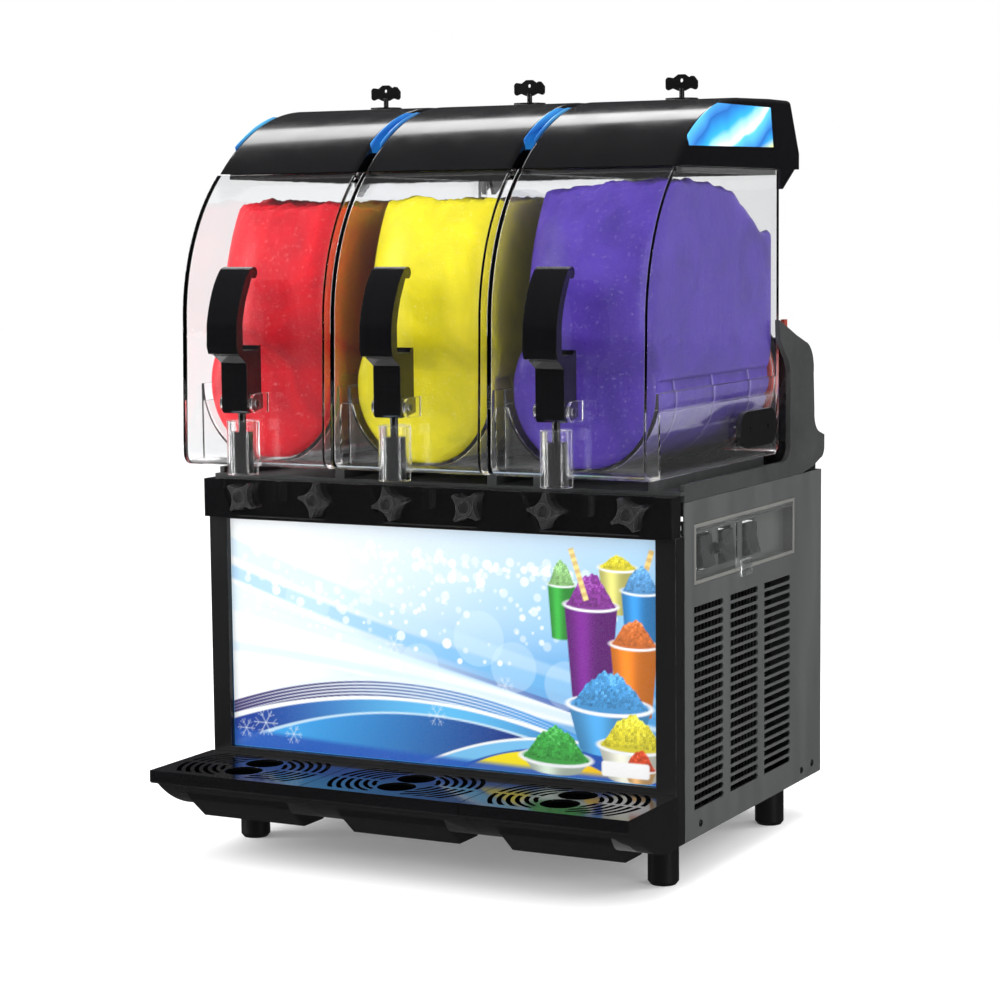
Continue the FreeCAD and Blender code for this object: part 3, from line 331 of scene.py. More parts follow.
LOOKS = {
    "base_pan": "paint", "feet": "rubber", "front_frame": "paint", "graphic_panel": "picture",
    "light_box": "white", "left_side_panel": "sheet", "right_side_panel": "sheet",
    "rear_panel": "sheet", "power_inlet": "satin", "control_box": "panel",
    "power_rocker": "satin", "mixer_rocker": "satin", "light_rocker": "satin",
    "thermostat_knob": "satin", "control_flap": "flap", "front_beam": "gloss",
    "deck_housing": "grained", "bowl_bulkhead": "satin", "rear_cover": "grained",
    "light_contacts": "contact", "screws": "zinc", "compressor": "enamel", "condenser": "fins",
    "fan_motor": "cast", "condenser_fan": "satin", "evaporator_drums": "steel",
    "bowl_gaskets": "seal", "gear_motors": "cast", "side_bumper": "rubber",
}
for side in SIDES:
    LOOKS.update({
        f"bowl_{side}": "bowl", f"lid_{side}": "gloss", f"lock_key_{side}": "satin",
        f"tap_lever_{side}": "gloss", f"tap_piston_{side}": "gloss",
        f"drip_tray_{side}": "gloss", f"tray_grille_{side}": "gloss",
    })
for number in range(1, 7):
    LOOKS[f"star_knob_{number}"] = "knob"


def dress(obj, material):
    obj.data.materials.clear()
    obj.data.materials.append(material)


for name, look in LOOKS.items():
    dress(nodes[name], MATERIALS[look])
for side in SIDES:
    dress(nodes[f"auger_{side}"], AUGER[side])


# ---------------------------------------------------------------- mesh helpers

def new_object(name, mesh):
    obj = bpy.data.objects.new(name, mesh)
    bpy.context.scene.collection.objects.link(obj)
    return obj


def from_bmesh(name, bm, smooth_angle=math.radians(35)):
    bmesh.ops.recalc_face_normals(bm, faces=bm.faces)
    mesh = bpy.data.meshes.new(name)
    bm.to_mesh(mesh)
    bm.free()
    mesh.shade_smooth()
    mesh.set_sharp_from_angle(angle=smooth_angle)
    return new_object(name, mesh)


def prism(name, outline, plane, low, high):
    """A solid with that outline in the yz, xz or xy plane, from low to high along the third axis."""
    spots = {"yz": lambda a, b, c: (c, a, b), "xz": lambda a, b, c: (a, c, b),
             "xy": lambda a, b, c: (a, b, c)}[plane]
    bm = bmesh.new()
    rings = [[bm.verts.new(spots(a, b, level)) for a, b in outline] for level in (low, high)]
    bm.faces.new(rings[0])
    bm.faces.new(rings[1])
    for i in range(len(outline)):
        j = (i + 1) % len(outline)
        bm.faces.new((rings[0][i], rings[0][j], rings[1][j], rings[1][i]))
    return from_bmesh(name, bm)


def applied(obj):
    """Applies the object's modifiers to its mesh."""
    graph = bpy.context.evaluated_depsgraph_get()
    mesh = bpy.data.meshes.new_from_object(obj.evaluated_get(graph))
    obj.modifiers.clear()
    obj.data = mesh
    return obj


def combine(obj, tool, operation):
    modifier = obj.modifiers.new("solid", "BOOLEAN")
    modifier.operation, modifier.object, modifier.solver = operation, tool, "EXACT"
    applied(obj)
    bpy.data.objects.remove(tool)
    return obj


def remeshed(obj, voxel, smoothing):
    modifier = obj.modifiers.new("even", "REMESH")
    modifier.mode, modifier.voxel_size = "VOXEL", voxel
    modifier = obj.modifiers.new("soft", "SMOOTH")
    modifier.iterations = smoothing
    return applied(obj)


def skin(bm, first, second):
    """Four-sided faces between two rings with the same number of corners."""
    for i in range(len(first)):
        j = (i + 1) % len(first)
        bm.faces.new((first[i], first[j], second[j], second[i]))


def arc(centre, radius, start, end, steps):
    """Points on a circle, from one angle to another in degrees."""
    turns = [math.radians(start + (end - start) * i / steps) for i in range(steps + 1)]
    return [(centre[0] + radius * math.cos(t), centre[1] + radius * math.sin(t)) for t in turns]


def add_piece(obj, body, material):
    dress(obj, material)
    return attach(obj, body)


# ---------------------------------------------------------------- slush

# The bowl's own shape: its wall, the arch of its face and the level where that starts, the ledge of
# its trough, how far the tap tube stands out in front of the face, and where the auger begins.
DRUM_LEVEL = middle("evaporator_drums").z
BOWL_WALL = 0.004
FACE_CURVE = 0.224
KNEE_LEVEL = 0.620
LEDGE = -0.187
TAP_REACH = 0.0426
AUGER_FRONT = -0.1745

# The slush: its gap to the bowl's outside, its bore round the auger, its lowest level, where and how
# much it draws in, how thickly it covers the ledge, and the level above which its top slopes.
GAP = BOWL_WALL + 0.0013
BORE = 0.0846
SLUSH_FOOT = 0.552
PINCH_LEVEL = 0.590
PINCH = 0.045
LEDGE_COVER = 0.004
HEAP_LEVEL = 0.66
SLUSH_TOPS = {
    "left": ((-0.17, 0.752), (-0.06, 0.757), (0.06, 0.754), (0.15, 0.750)),
    "centre": ((-0.17, 0.756), (-0.06, 0.757), (0.06, 0.756), (0.15, 0.752)),
    "right": ((-0.17, 0.770), (-0.08, 0.769), (0.0, 0.760), (0.06, 0.738), (0.11, 0.715), (0.15, 0.712)),
}
TILT = {"left": -0.02, "centre": 0.0, "right": 0.07}


def front_line(face, z):
    """How far forward the slush reaches at a level: the bowl's arch above, the ledge below."""
    reach = FACE_CURVE - GAP
    rise = max(0.0, min(reach, z - KNEE_LEVEL))
    arch = face + reach - math.sqrt(reach * reach - rise * rise)
    sink = max(0.0, min(1.0, (KNEE_LEVEL - z) / (KNEE_LEVEL - SLUSH_FOOT)))
    return arch + (LEDGE + LEDGE_COVER - arch) * sink * sink * (3 - 2 * sink)


def slush_block(side):
    """What fills a bowl above its auger, with an upright front."""
    low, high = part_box(f"bowl_{side}")
    x = middle(f"auger_{side}").x
    half, wide, tight, inset = (high.x - low.x) / 2 - GAP, 0.080, 0.026, 0.012
    rear_gap = 0.012
    face, rear = low.y + TAP_REACH + GAP, high.y - rear_gap
    plan = arc((x + half - tight, face + tight), tight, -90, 0, 8)
    plan += [(x + half, rear), (x - half + inset, rear)]
    plan += arc((x - half + inset + wide, face + wide), wide, 180, 270, 16)
    block = prism(f"slush_{side}", plan, "xy", SLUSH_FOOT, max(z for _, z in SLUSH_TOPS[side]))
    return block, face, rear


def auger_room(side):
    """The bore round an auger, from the auger's front end to well behind the bowl."""
    x, beyond = middle(f"auger_{side}").x, 0.4
    ring = [(x + a, DRUM_LEVEL + b) for a, b in arc((0, 0), BORE, 0, 352.5, 47)]
    return prism("room", ring, "xz", AUGER_FRONT, beyond)


def settle(block, side, face, rear):
    """Bends the block's top to the heap's slope, its front to the bowl's arch and its foot inwards."""
    tops = SLUSH_TOPS[side]
    crest = max(z for _, z in tops)
    middle_x = middle(f"auger_{side}").x
    ys, zs = zip(*tops)
    for vertex in block.data.vertices:
        co = vertex.co
        if co.z > HEAP_LEVEL:
            height = float(np.interp(co.y, ys, zs)) + TILT[side] * (co.x - middle_x)
            co.z = HEAP_LEVEL + (co.z - HEAP_LEVEL) * (height - HEAP_LEVEL) / (crest - HEAP_LEVEL)
        pinch = PINCH * max(0.0, min(1.0, (PINCH_LEVEL - co.z) / (PINCH_LEVEL - SLUSH_FOOT)))
        co.x = middle_x + (co.x - middle_x) * (1 - pinch)
        share = max(0.0, min(1.0, (rear - co.y) / (rear - face)))
        co.y += (front_line(face, co.z) - face) * share


def slush_nose(side):
    """The slush in the mouth of the trough, in front of the auger, with a rounded face."""
    x, drum = middle(f"auger_{side}").x, DRUM_LEVEL
    back, radius, rounding = -0.174, 0.0868, 0.013
    bm = bmesh.new()
    loops = []
    for step in range(7):
        turn = math.radians(15 * step)
        r = radius - 2 * rounding * (1 - math.sin(turn))
        y = LEDGE + rounding * (1 - math.cos(turn))
        loops.append([bm.verts.new((x + a, y, drum + b)) for a, b in arc((0, 0), r, 0, 355, 71)])
    loops.append([bm.verts.new((v.co.x, back, v.co.z)) for v in loops[-1]])
    for first, second in zip(loops, loops[1:]):
        skin(bm, first, second)
    bm.faces.new(loops[0])
    bm.faces.new(loops[-1])
    return from_bmesh("nose", bm)


def lumpy(obj, side, seed):
    """Heaps and scallops on the top of the slush, fading down its sides."""
    crest, fade = min(z for _, z in SLUSH_TOPS[side]), 0.03
    facing = [normal.vector.z for normal in obj.data.vertex_normals]
    for vertex, up in zip(obj.data.vertices, facing):
        share = max(0.0, min(1.0, (vertex.co.z - crest + fade) / fade)) * max(0.0, up)
        spot = Vector((vertex.co.x * 30 + seed, vertex.co.y * 34, seed))
        heap = noise.fractal(spot, 0.8, 2.1, 4)
        vertex.co.z += share * (0.006 * heap + 0.0014 * noise.noise(vertex.co * 170))


def slush_core(side):
    """The slush between the auger's turns, which goes round with it."""
    x, drum = middle(f"auger_{side}").x, DRUM_LEVEL
    start, end, outer, inner, shaft = -0.1735, 0.146, 0.0831, 0.0562, 0.0065
    rings, turns = 64, 96
    bm = bmesh.new()

    def ring(y, radius, rough):
        loop = []
        for i in range(turns):
            angle = 2 * math.pi * i / turns
            spot = Vector((math.cos(angle) * 2, math.sin(angle) * 2, y * 30))
            r = radius - rough * (0.5 + 0.5 * noise.noise(spot * 2.2))
            loop.append(bm.verts.new((x + r * math.cos(angle), y, drum + r * math.sin(angle))))
        return loop

    path = [(start, shaft), (start, outer)]
    path += [(start + (end - start) * i / rings, outer) for i in range(1, rings + 1)]
    path += [(end, inner), (start + 0.026, inner), (start + 0.024, shaft)]
    loops = [ring(y, r, 0.0012 if r == outer else 0.0) for y, r in path]
    for first, second in zip(loops, loops[1:] + loops[:1]):
        skin(bm, first, second)
    return from_bmesh(f"slush_core_{side}", bm)


def joined(name, first, *others):
    """One object from several, whose meshes may overlap."""
    bm = bmesh.new()
    for obj in (first, *others):
        bm.from_mesh(obj.data)
        bpy.data.objects.remove(obj)
    return from_bmesh(name, bm)


def fill_bowls():
    """Slush that stays with each bowl, and slush that goes round with each auger."""
    coarse, fine = 0.004, 0.003
    for index, side in enumerate(SIDES):
        block, face, rear = slush_block(side)
        remeshed(block, coarse, 0)
        settle(block, side, face, rear)
        combine(block, auger_room(side), "DIFFERENCE")
        body = remeshed(joined(f"slush_{side}", block, slush_nose(side)), fine, 8)
        lumpy(body, side, 3.7 * index + 1.3)
        body.data.shade_smooth()
        add_piece(body, f"bowl_{side}", SLUSH[side])
        add_piece(slush_core(side), f"auger_{side}", SLUSH[side])


# ---------------------------------------------------------------- small pieces

def bulge(start, end, radius, steps):
    """Points on the short arc from start to end, anticlockwise."""
    ahead, chord = Vector(end) - Vector(start), math.dist(start, end)
    side = Vector((-ahead.y, ahead.x)) / chord
    centre = Vector(start) + ahead / 2 + side * math.sqrt(radius * radius - chord * chord / 4)
    first = math.degrees(math.atan2(start[1] - centre.y, start[0] - centre.x))
    last = math.degrees(math.atan2(end[1] - centre.y, end[0] - centre.x))
    return arc(centre, radius, first, first + (last - first) % 360, steps)


def lid_windows():
    """Printed film in the recess on each side of each lid."""
    for side in SIDES:
        low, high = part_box(f"lid_{side}")
        floor, roof = high.z - 0.0587, high.z - 0.0103
        outline = [(low.y + 0.0403, floor), (high.y - 0.0834, floor + 0.003), (high.y - 0.0924, roof)]
        outline += bulge((high.y - 0.2508, roof), (low.y + 0.0367, high.z - 0.048), 0.25, 14)
        inset, thickness = 0.0002, 0.0008
        for end, start in (("left", low.x + inset), ("right", high.x - inset - thickness)):
            film = prism(f"lid_window_{side}_{end}", outline, "yz", start, start + thickness)
            add_piece(film, f"lid_{side}", MATERIALS["window"])


def island_boxes(obj):
    """The box of each separate island of a mesh."""
    bm = bmesh.new()
    bm.from_mesh(obj.data)
    bmesh.ops.remove_doubles(bm, verts=bm.verts, dist=1e-6)
    left, boxes = set(bm.verts), []
    while left:
        stack, island = [left.pop()], []
        while stack:
            vertex = stack.pop()
            island.append(vertex.co.copy())
            for edge in vertex.link_edges:
                other = edge.other_vert(vertex)
                if other in left:
                    left.remove(other)
                    stack.append(other)
        boxes.append((
            Vector([min(c[k] for c in island) for k in range(3)]),
            Vector([max(c[k] for c in island) for k in range(3)]),
        ))
    bm.free()
    return sorted(boxes, key=lambda pair: tuple(round(v, 4) for v in pair[0]))


def screw_head(place, turn, angle):
    """A pan head with a cross recess, facing along its own +Z before the turn."""
    radius, edge, crown, shoulder, recess = 0.004, 0.0006, 0.0009, 0.0012, (0.0019, 0.0004)
    profile = [(radius, 0.0), (radius, edge)]
    for step in range(1, 4):
        bend = math.radians(30 * step)
        profile.append((radius - shoulder * (1 - math.cos(bend)), edge + crown * math.sin(bend)))
    bm = bmesh.new()
    rings = [[bm.verts.new((a, b, z)) for a, b in arc((0, 0), r, 0, 345, 23)] for r, z in profile]
    for first, second in zip(rings, rings[1:]):
        skin(bm, first, second)
    bm.faces.new(rings[0])
    bm.faces.new(rings[-1])
    head = from_bmesh("head", bm)
    for wide, deep in (recess, recess[::-1]):
        outline = [(-wide, -deep), (wide, -deep), (wide, deep), (-wide, deep)]
        combine(head, prism("slot", outline, "xy", edge, edge + crown + 0.0001), "DIFFERENCE")
    head.data.transform(Matrix.Translation(place) @ turn @ Matrix.Rotation(angle, 4, "Z"))
    return head


def screw_heads():
    """Cross-recessed heads where the panels are screwed on. A head is thin along its own axis."""
    thin, next_turn = 0.003, 0.7
    heads = []
    for number, (low, high) in enumerate(island_boxes(nodes["screws"])):
        centre = (low + high) / 2
        if high.x - low.x < thin:
            sign = 1 if centre.x > 0 else -1
            turn = Matrix.Rotation(math.radians(90 * sign), 4, "Y")
            place = Vector((low.x if sign > 0 else high.x, centre.y, centre.z))
        else:
            turn = Matrix.Rotation(math.radians(-90), 4, "X")
            place = Vector((centre.x, low.y, centre.z))
        heads.append(screw_head(place, turn, next_turn * number))
    piece = joined("screw_heads", *heads)
    add_piece(piece, "root", MATERIALS["zinc"])
    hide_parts("screws")


# ---------------------------------------------------------------- the backlit picture

class Canvas:
    """Ink on a flat sheet, painted from back to front on a grid of points. Metres from its lower left."""

    def __init__(self, width, height, cell):
        self.width, self.height = width, height
        self.columns, self.rows = round(width / cell) + 1, round(height / cell) + 1
        self.u, self.v = np.meshgrid(
            np.linspace(0, width, self.columns), np.linspace(0, height, self.rows)
        )
        self.ink = np.ones((self.rows, self.columns, 3))
        self.chance = np.random.default_rng(7)

    def lay(self, cover, colour):
        self.ink += (np.asarray(colour) - self.ink) * np.clip(cover, 0, 1)[..., None]

    def inside(self, distance, soft=0.0012):
        """1 where distance is below nought, with a soft edge."""
        return np.clip(0.5 - distance / soft, 0, 1)

    def between(self, first, second, share):
        """A colour for each point, on the way from the first to the second."""
        share = np.clip(share, 0, 1)[..., None]
        return np.asarray(first) * (1 - share) + np.asarray(second) * share

    def disc(self, u, v, radius, colour, cover, soft=0.0012):
        self.lay(cover * self.inside(np.hypot(self.u - u, self.v - v) - radius, soft), colour)

    def band(self, upper, lower, colour, cover=1.0, soft=0.0012):
        """What lies between two lines, each a function of how far along the sheet a point is."""
        along = self.u / self.width
        inked = self.inside(self.v - upper(along), soft) * self.inside(lower(along) - self.v, soft)
        self.lay(cover * inked, colour)

    def crystals(self, low, high):
        """Uneven brightness, as on crushed ice."""
        fine = self.chance.random((self.rows, self.columns))
        coarse = np.kron(self.chance.random((self.rows // 3 + 1, self.columns // 3 + 1)), np.ones((3, 3)))
        mixed = 0.45 * fine + 0.55 * coarse[:self.rows, :self.columns]
        return low + (high - low) * mixed

    def cup(self, u, rim, base, width, heap, body, ice):
        """A cup seen a little from above, with a heap of crushed ice."""
        share = np.clip((self.v - base) / (rim - base), 0, 1)
        half = width * (0.36 + 0.14 * share)
        side = (self.u - u) / half
        foot = base - 0.08 * width * np.sqrt(np.clip(1 - side * side, 0, 1))
        inked = self.inside(np.abs(self.u - u) - half) * self.inside(foot - self.v)
        inked *= self.inside(self.v - rim)
        round_shade = 0.62 + 0.5 * np.exp(-((side + 0.35) / 0.4) ** 2)
        self.lay(inked, np.asarray(body) * round_shade[..., None])
        self.ellipse(u, rim, width * 0.53, width * 0.12, (0.95, 0.97, 1.0))
        self.ellipse(u, rim + 0.001, width * 0.47, width * 0.09, np.asarray(ice) * 0.8)
        reach = (self.u - u) / (width * 0.46)
        ripple = 0.05 * np.sin(self.u * 310 + rim * 700) + 0.03 * np.sin(self.u * 830)
        top = rim + heap * (np.clip(1 - reach * reach, 0, 1) ** 1.25) * (1 + ripple)
        heaped = self.inside(self.v - top) * self.inside(rim - 0.02 * width - self.v)
        heaped *= self.inside((np.abs(reach) - 1) * width)
        lit = self.crystals(0.55, 1.25) * (0.8 + 0.35 * np.clip((self.v - rim) / heap, 0, 1))
        self.lay(heaped, np.clip(np.asarray(ice) * lit[..., None] + 0.1 * (lit[..., None] > 1.1), 0, 1))

    def ellipse(self, u, v, wide, tall, colour):
        shape = np.sqrt(((self.u - u) / wide) ** 2 + ((self.v - v) / tall) ** 2)
        self.lay(self.inside((shape - 1) * tall), colour)

    def straw(self, u, v, lean, length, colour):
        across = (self.u - u) * math.cos(lean) + (self.v - v) * math.sin(lean)
        along = (self.v - v) * math.cos(lean) - (self.u - u) * math.sin(lean)
        stripe = 0.85 + 0.25 * (np.sin(along * 700) > 0)
        cover = self.inside(np.abs(across) - 0.0032) * self.inside(np.abs(along - length / 2) - length / 2)
        self.lay(cover, np.clip(np.asarray(colour) * stripe[..., None], 0, 1))

    def flake(self, u, v, radius, cover):
        """A six-armed snow crystal."""
        across, up = self.u - u, self.v - v
        for arm in range(6):
            turn = math.pi * arm / 3
            along = across * math.cos(turn) + up * math.sin(turn)
            aside = np.abs(up * math.cos(turn) - across * math.sin(turn))
            line = self.inside(aside - 0.0006) * (along > 0) * (along < radius)
            twig = np.abs(aside - np.abs(along - 0.55 * radius))
            twigs = self.inside(twig - 0.0005) * (along > 0.55 * radius) * (aside < 0.3 * radius)
            self.lay(cover * np.clip(line + twigs, 0, 1), (0.93, 0.97, 1.0))

    def sheet(self, name, low, thickness):
        """A closed thin sheet that carries the ink. low is its lower left front corner."""
        front = np.stack([low[0] + self.u, np.full_like(self.u, low[1]), low[2] + self.v], -1)
        front = front.reshape(-1, 3)
        grid = np.arange(self.rows * self.columns).reshape(self.rows, self.columns)
        quads = np.stack([grid[:-1, :-1], grid[:-1, 1:], grid[1:, 1:], grid[1:, :-1]], -1).reshape(-1, 4)
        rim = np.concatenate([grid[0], grid[1:, -1], grid[-1, -2::-1], grid[-2:0:-1, 0]])
        back = front[rim] + (0, thickness, 0)
        start = len(front)
        count = len(rim)
        sides = [
            (int(rim[i]), start + i, start + (i + 1) % count, int(rim[(i + 1) % count]))
            for i in range(count)
        ]
        faces = [tuple(map(int, q)) for q in quads] + sides + [tuple(start + i for i in range(count))]
        mesh = bpy.data.meshes.new(name)
        mesh.from_pydata(np.concatenate([front, back]).tolist(), [], faces)
        layer = mesh.color_attributes.new("ink", "FLOAT_COLOR", "POINT")
        colours = np.ones((start + count, 4))
        colours[:start, :3] = np.clip(self.ink, 0, 1).reshape(-1, 3)
        colours[start:] = colours[rim]
        layer.data.foreach_set("color", colours.astype(np.float32).ravel())
        return new_object(name, mesh)


def swoop(start, half_way, end):
    """A smooth line through three heights: at the left edge, half way and at the right edge."""
    bend = 2 * (start + end - 2 * half_way)
    return lambda along: start + (2 * (half_way - start) - bend / 2) * along + bend * along * along


def hill(top, crest, drop):
    """A line that falls away on both sides of its crest."""
    return lambda along: top - drop * (along - crest) ** 2


def paint_sky(c):
    """White, pale and mid blue veils that sweep down from the upper left."""
    up, along = c.v / c.height, c.u / c.width
    c.lay(np.ones_like(c.u), c.between((0.97, 0.99, 1.0), (0.3, 0.62, 0.9), along * 1.1 - 0.15))
    deep = np.exp(-((up - 0.55 + 0.25 * along) / 0.2) ** 2) * np.clip(along * 1.6 - 0.35, 0, 1)
    c.lay(0.8 * deep, (0.1, 0.42, 0.8))
    c.lay(np.clip((up - 0.72) * 1.6, 0, 0.42), (0.9, 0.94, 0.97))
    h = c.height
    veils = (
        ((0.80, 0.52, 0.34), (0.74, 0.46, 0.28), (0.25, 0.6, 0.9), 0.55),
        ((0.92, 0.60, 0.36), (0.84, 0.53, 0.33), (0.6, 0.8, 0.95), 0.5),
        ((0.72, 0.42, 0.24), (0.58, 0.37, 0.22), (0.8, 0.92, 0.99), 0.85),
        ((0.60, 0.40, 0.20), (0.46, 0.30, 0.17), (0.95, 0.98, 1.0), 0.95),
        ((0.46, 0.36, 0.19), (0.42, 0.33, 0.16), (0.7, 0.86, 0.97), 0.6),
    )
    for upper, lower, colour, cover in veils:
        c.band(swoop(*[h * x for x in upper]), swoop(*[h * x for x in lower]), colour, cover, 0.004)
    c.band(swoop(0.66 * h, 0.44 * h, 0.20 * h), swoop(0.66 * h, 0.425 * h, 0.17 * h),
           c.between((0.75, 0.9, 0.99), (0.04, 0.13, 0.5), along * 1.9 - 0.6), 0.9)


def paint_arcs(c):
    """Nested blue arches over the lower half, with dark lines, a yellow band and a blue ground."""
    h, along = c.height, c.u / c.width
    ground = hill(-h, 0.4, 0)
    c.band(hill(0.36 * h, 0.40, 0.30), ground, (0.86, 0.94, 1.0), 0.9, 0.003)
    for step in range(5):
        top = (0.335 - 0.014 * step) * h
        dark = c.between((0.07, 0.03, 0.22), (0.12, 0.45, 0.86), along * 2.2 - 0.55)
        c.band(hill(top, 0.40, 0.235), hill(top - 0.007 * h, 0.40, 0.245), dark, 0.95)
    body = c.between((0.02, 0.1, 0.45), (0.2, 0.62, 0.93), np.sin(along * 3.0) ** 2)
    c.band(hill(0.262 * h, 0.42, 0.20), ground, body, 1.0)
    c.band(hill(0.272 * h, 0.42, 0.20), hill(0.258 * h, 0.42, 0.215), (0.96, 0.99, 1.0), 1.0)
    inner = c.between((0.1, 0.5, 0.9), (0.02, 0.04, 0.3), along * 1.7 - 0.25)
    c.band(hill(0.205 * h, 0.46, 0.25), ground, inner, 1.0)
    c.band(hill(0.212 * h, 0.46, 0.25), hill(0.203 * h, 0.46, 0.262), (0.7, 0.88, 0.99), 0.9)
    c.band(hill(0.15 * h, 0.78, 0.42), ground, (0.3, 0.66, 0.94), 1.0)
    c.band(hill(0.157 * h, 0.78, 0.42), hill(0.146 * h, 0.78, 0.42), (0.97, 0.99, 1.0), 1.0)
    c.band(hill(0.118 * h, 0.80, 0.50), ground, (0.03, 0.16, 0.55), 1.0)
    warm = c.between((1.0, 0.86, 0.0), (0.96, 0.5, 0.03), along * 3 - 2.1)
    c.band(hill(0.095 * h, 0.74, 0.85), ground, warm, 1.0)
    c.band(swoop(0.075 * h, 0.035 * h, 0.02 * h), ground, (0.04, 0.19, 0.62), 0.95, 0.006)


def paint_sparkle(c):
    """A drift of round white lights along the top, and a few large pale ones."""
    w, h = c.width, c.height
    for u, v, radius in ((0.19, 0.66, 0.055), (0.36, 0.44, 0.04), (0.60, 0.55, 0.058),
                         (0.68, 0.44, 0.052), (0.46, 0.42, 0.045), (0.80, 0.38, 0.05)):
        c.disc(u * w, v * h, radius * w, (0.78, 0.92, 1.0), 0.28)
    for _ in range(430):
        u = 0.03 + 0.95 * c.chance.random()
        fall = c.chance.random() ** 2.2
        v = 0.96 - 0.10 * u - 0.42 * fall - 0.05 * c.chance.random()
        radius = (0.0016 + 0.0042 * c.chance.random() ** 2)
        c.disc(u * w, v * h, radius, (1.0, 1.0, 1.0), 0.35 + 0.6 * c.chance.random() ** 2)


def paint_cups(c):
    """Seven servings of coloured ice at the right."""
    w, h = c.width, c.height
    green, purple, blue = (0.1, 0.55, 0.12), (0.3, 0.05, 0.4), (0.08, 0.42, 0.82)
    orange, yellow, red = (0.95, 0.35, 0.03), (0.93, 0.85, 0.08), (0.88, 0.16, 0.05)
    c.cup(0.790 * w, 0.80 * h, 0.58 * h, 0.062 * w, 0.10 * h, green, (0.45, 0.75, 0.35))
    c.cup(0.915 * w, 0.88 * h, 0.70 * h, 0.085 * w, 0.05 * h, (0.8, 0.78, 0.3), yellow)
    c.straw(0.965 * w, 0.80 * h, -0.3, 0.045, (0.95, 0.7, 0.3))
    c.cup(0.965 * w, 0.79 * h, 0.50 * h, 0.085 * w, 0.10 * h, blue, (0.2, 0.5, 0.85))
    c.cup(0.855 * w, 0.72 * h, 0.34 * h, 0.118 * w, 0.13 * h, purple, (0.42, 0.1, 0.5))
    c.straw(0.845 * w, 0.74 * h, 0.32, 0.06, (0.97, 0.75, 0.35))
    c.cup(0.950 * w, 0.57 * h, 0.28 * h, 0.105 * w, 0.10 * h, orange, (0.85, 0.3, 0.08))
    c.cup(0.895 * w, 0.31 * h, 0.13 * h, 0.185 * w, 0.14 * h, (0.15, 0.5, 0.85), (0.15, 0.5, 0.88))
    c.cup(0.945 * w, 0.15 * h, 0.02 * h, 0.150 * w, 0.13 * h, (0.9, 0.9, 0.8), yellow)
    c.cup(0.775 * w, 0.075 * h, 0.03 * h, 0.160 * w, 0.13 * h, (0.75, 0.85, 0.75), (0.12, 0.58, 0.14))
    c.cup(0.962 * w, 0.06 * h, 0.01 * h, 0.072 * w, 0.08 * h, (0.9, 0.6, 0.3), red)


def paint_label(c):
    """A plain white label with round corners and nothing on it."""
    u, v, wide, tall, corner = 0.930 * c.width, 0.052 * c.height, 0.029, 0.0085, 0.003
    across = np.maximum(np.abs(c.u - u) - wide + corner, 0)
    up = np.maximum(np.abs(c.v - v) - tall + corner, 0)
    c.lay(c.inside(np.hypot(across, up) - corner), (1.0, 1.0, 1.0))


def picture():
    """The inked film just in front of the graphic panel."""
    low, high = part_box("graphic_panel")
    margin, thickness, gap = 0.0006, 0.0004, 0.0001
    c = Canvas(high.x - low.x - 2 * margin, high.z - low.z - 2 * margin, 0.0012)
    paint_sky(c)
    paint_arcs(c)
    for u, v, radius, cover in ((0.08, 0.11, 0.017, 0.6), (0.15, 0.07, 0.012, 0.5), (0.03, 0.08, 0.012, 0.5),
                                (0.50, 0.21, 0.013, 0.45), (0.40, 0.50, 0.012, 0.5),
                                (0.66, 0.36, 0.011, 0.45)):
        c.flake(u * c.width, v * c.height, radius, cover)
    paint_sparkle(c)
    paint_cups(c)
    paint_label(c)
    c.ink = c.ink ** 1.35
    film = c.sheet("picture_film", (low.x + margin, low.y - gap - thickness, low.z + margin), thickness)
    add_piece(film, "root", MATERIALS["ink"])


# ---------------------------------------------------------------- stage, light and camera

def studio():
    floor_mesh = bpy.data.meshes.new("floor")
    reach = 12.0
    floor_mesh.from_pydata(
        [(-reach, -reach, 0), (reach, -reach, 0), (reach, reach, 0), (-reach, reach, 0)],
        [], [(0, 1, 2, 3)],
    )
    floor = new_object("floor", floor_mesh)
    m = Tree("pale_floor")
    matte = m.add("BsdfDiffuse", {
        "Color": m.blend(m.noise(3, 2), (0.85, 0.85, 0.85), (0.88, 0.88, 0.88)),
    }).outputs[0]
    lift = m.add("Emission", {"Color": (1, 1, 1, 1), "Strength": 0.2}).outputs[0]
    lit = m.add("AddShader", {0: matte, 1: lift}).outputs[0]
    dim = m.add("Emission", {"Color": (1, 1, 1, 1), "Strength": 0.05}).outputs[0]
    dress(floor, m.finish(m.add("MixShader", {0: m.single_reflection(), 1: lit, 2: dim}).outputs[0]))


def lamp(name, spot, target, width, height, power, mirrored=False):
    """A soft area lamp. Only a mirrored one shows in reflections."""
    data = bpy.data.lights.new(name, "AREA")
    data.shape, data.size, data.size_y, data.energy = "RECTANGLE", width, height, power
    obj = new_object(name, data)
    obj.visible_glossy = obj.visible_transmission = mirrored
    obj.location = spot
    obj.rotation_euler = (Vector(target) - Vector(spot)).to_track_quat("-Z", "Y").to_euler()


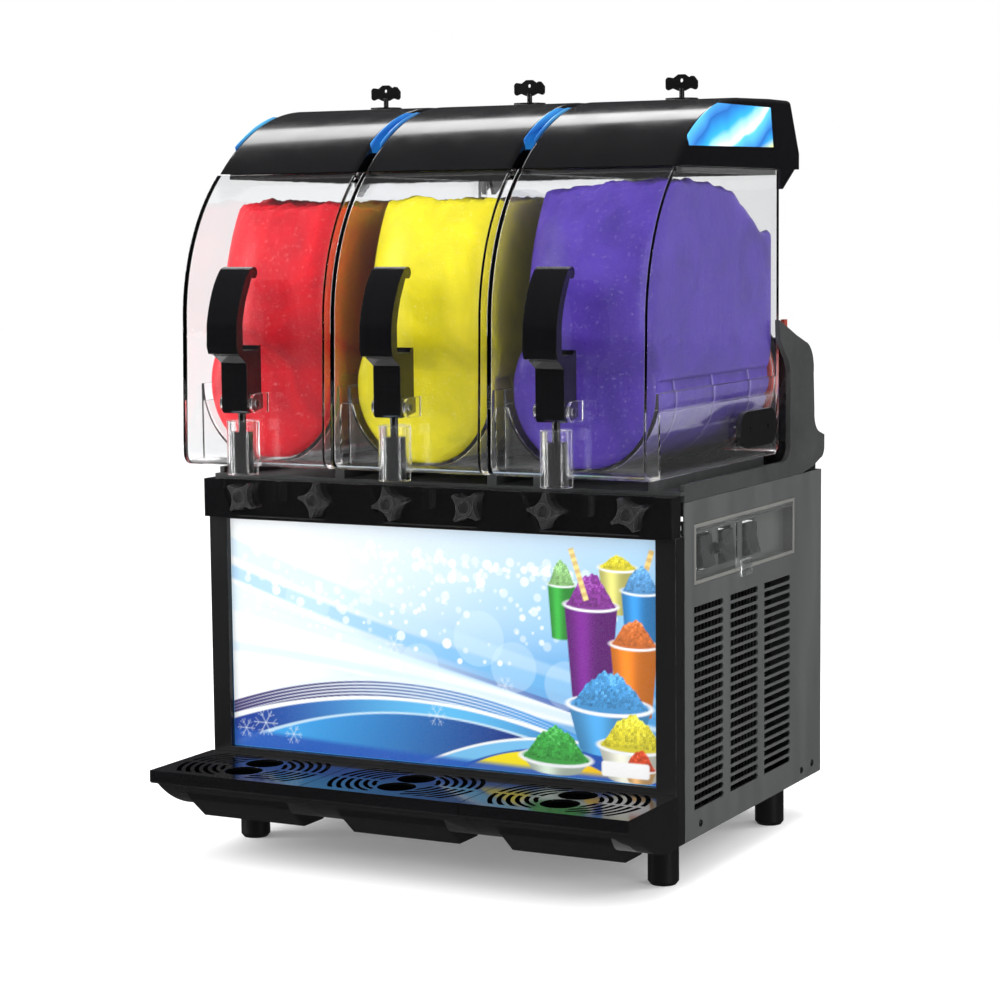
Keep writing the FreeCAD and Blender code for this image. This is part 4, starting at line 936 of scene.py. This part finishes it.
def sky():
    """White all round, dark in single reflections so that the black parts stay black."""
    world = bpy.data.worlds.new("studio")
    bpy.context.scene.world = world
    m = Tree("studio", world)
    level = m.add("SeparateXYZ", {0: m.add("TexCoord").outputs["Generated"]}).outputs[2]
    shade = m.ramp(level, (0.0, (0.02, 0.02, 0.022)), (0.9, (0.12, 0.12, 0.125)))
    white = m.add("Background", {"Color": (1, 1, 1, 1)}).outputs[0]
    dim = m.add("Background", {"Color": shade}).outputs[0]
    m.finish(m.add("MixShader", {0: m.single_reflection(), 1: white, 2: dim}).outputs[0], "OutputWorld")


def camera():
    """Right of the front and a little above, with a slight roll."""
    azimuth, elevation, roll = 27.4076, 6.1233, -0.5726
    data = bpy.data.cameras.new("camera")
    data.lens, data.sensor_width, data.clip_end = 93.45, 36.0, 60.0
    obj = new_object("camera", data)
    turn = Matrix.Rotation(math.radians(azimuth), 4, "Z")
    tilt = Matrix.Rotation(math.radians(90 - elevation), 4, "X")
    lean = Matrix.Rotation(math.radians(roll), 4, "Z")
    obj.matrix_world = Matrix.Translation((1.41057, -2.71600, 0.73325)) @ turn @ tilt @ lean
    bpy.context.scene.camera = obj


fill_bowls()
lid_windows()
screw_heads()
picture()
studio()
sky()
camera()
lamp("front_left", (-2.4, -2.6, 2.3), (0, 0, 0.5), 1.8, 2.4, 90)
lamp("overhead", (0.2, -0.2, 3.0), (0, 0, 0.4), 2.6, 2.6, 45)
lamp("right_rear", (2.4, 2.2, 1.5), (0.2, 0, 0.4), 1.2, 2.4, 55)
lamp("left_strip", (-2.2, -1.3, 1.1), (0, 0, 0.9), 0.16, 2.2, 26, mirrored=True)
lamp("right_strip", (2.6, -1.1, 1.1), (0, 0, 0.9), 0.14, 2.2, 18, mirrored=True)
lamp("lid_light", (-1.3, 1.5, 2.6), (0, 0, 0.85), 2.0, 0.5, 11, mirrored=True)
bpy.context.scene.view_settings.view_transform = "Standard"

# Enough bounces for light that runs along inside a bowl's wall.
cycles = bpy.context.scene.cycles
cycles.max_bounces, cycles.glossy_bounces, cycles.transmission_bounces = 20, 16, 16
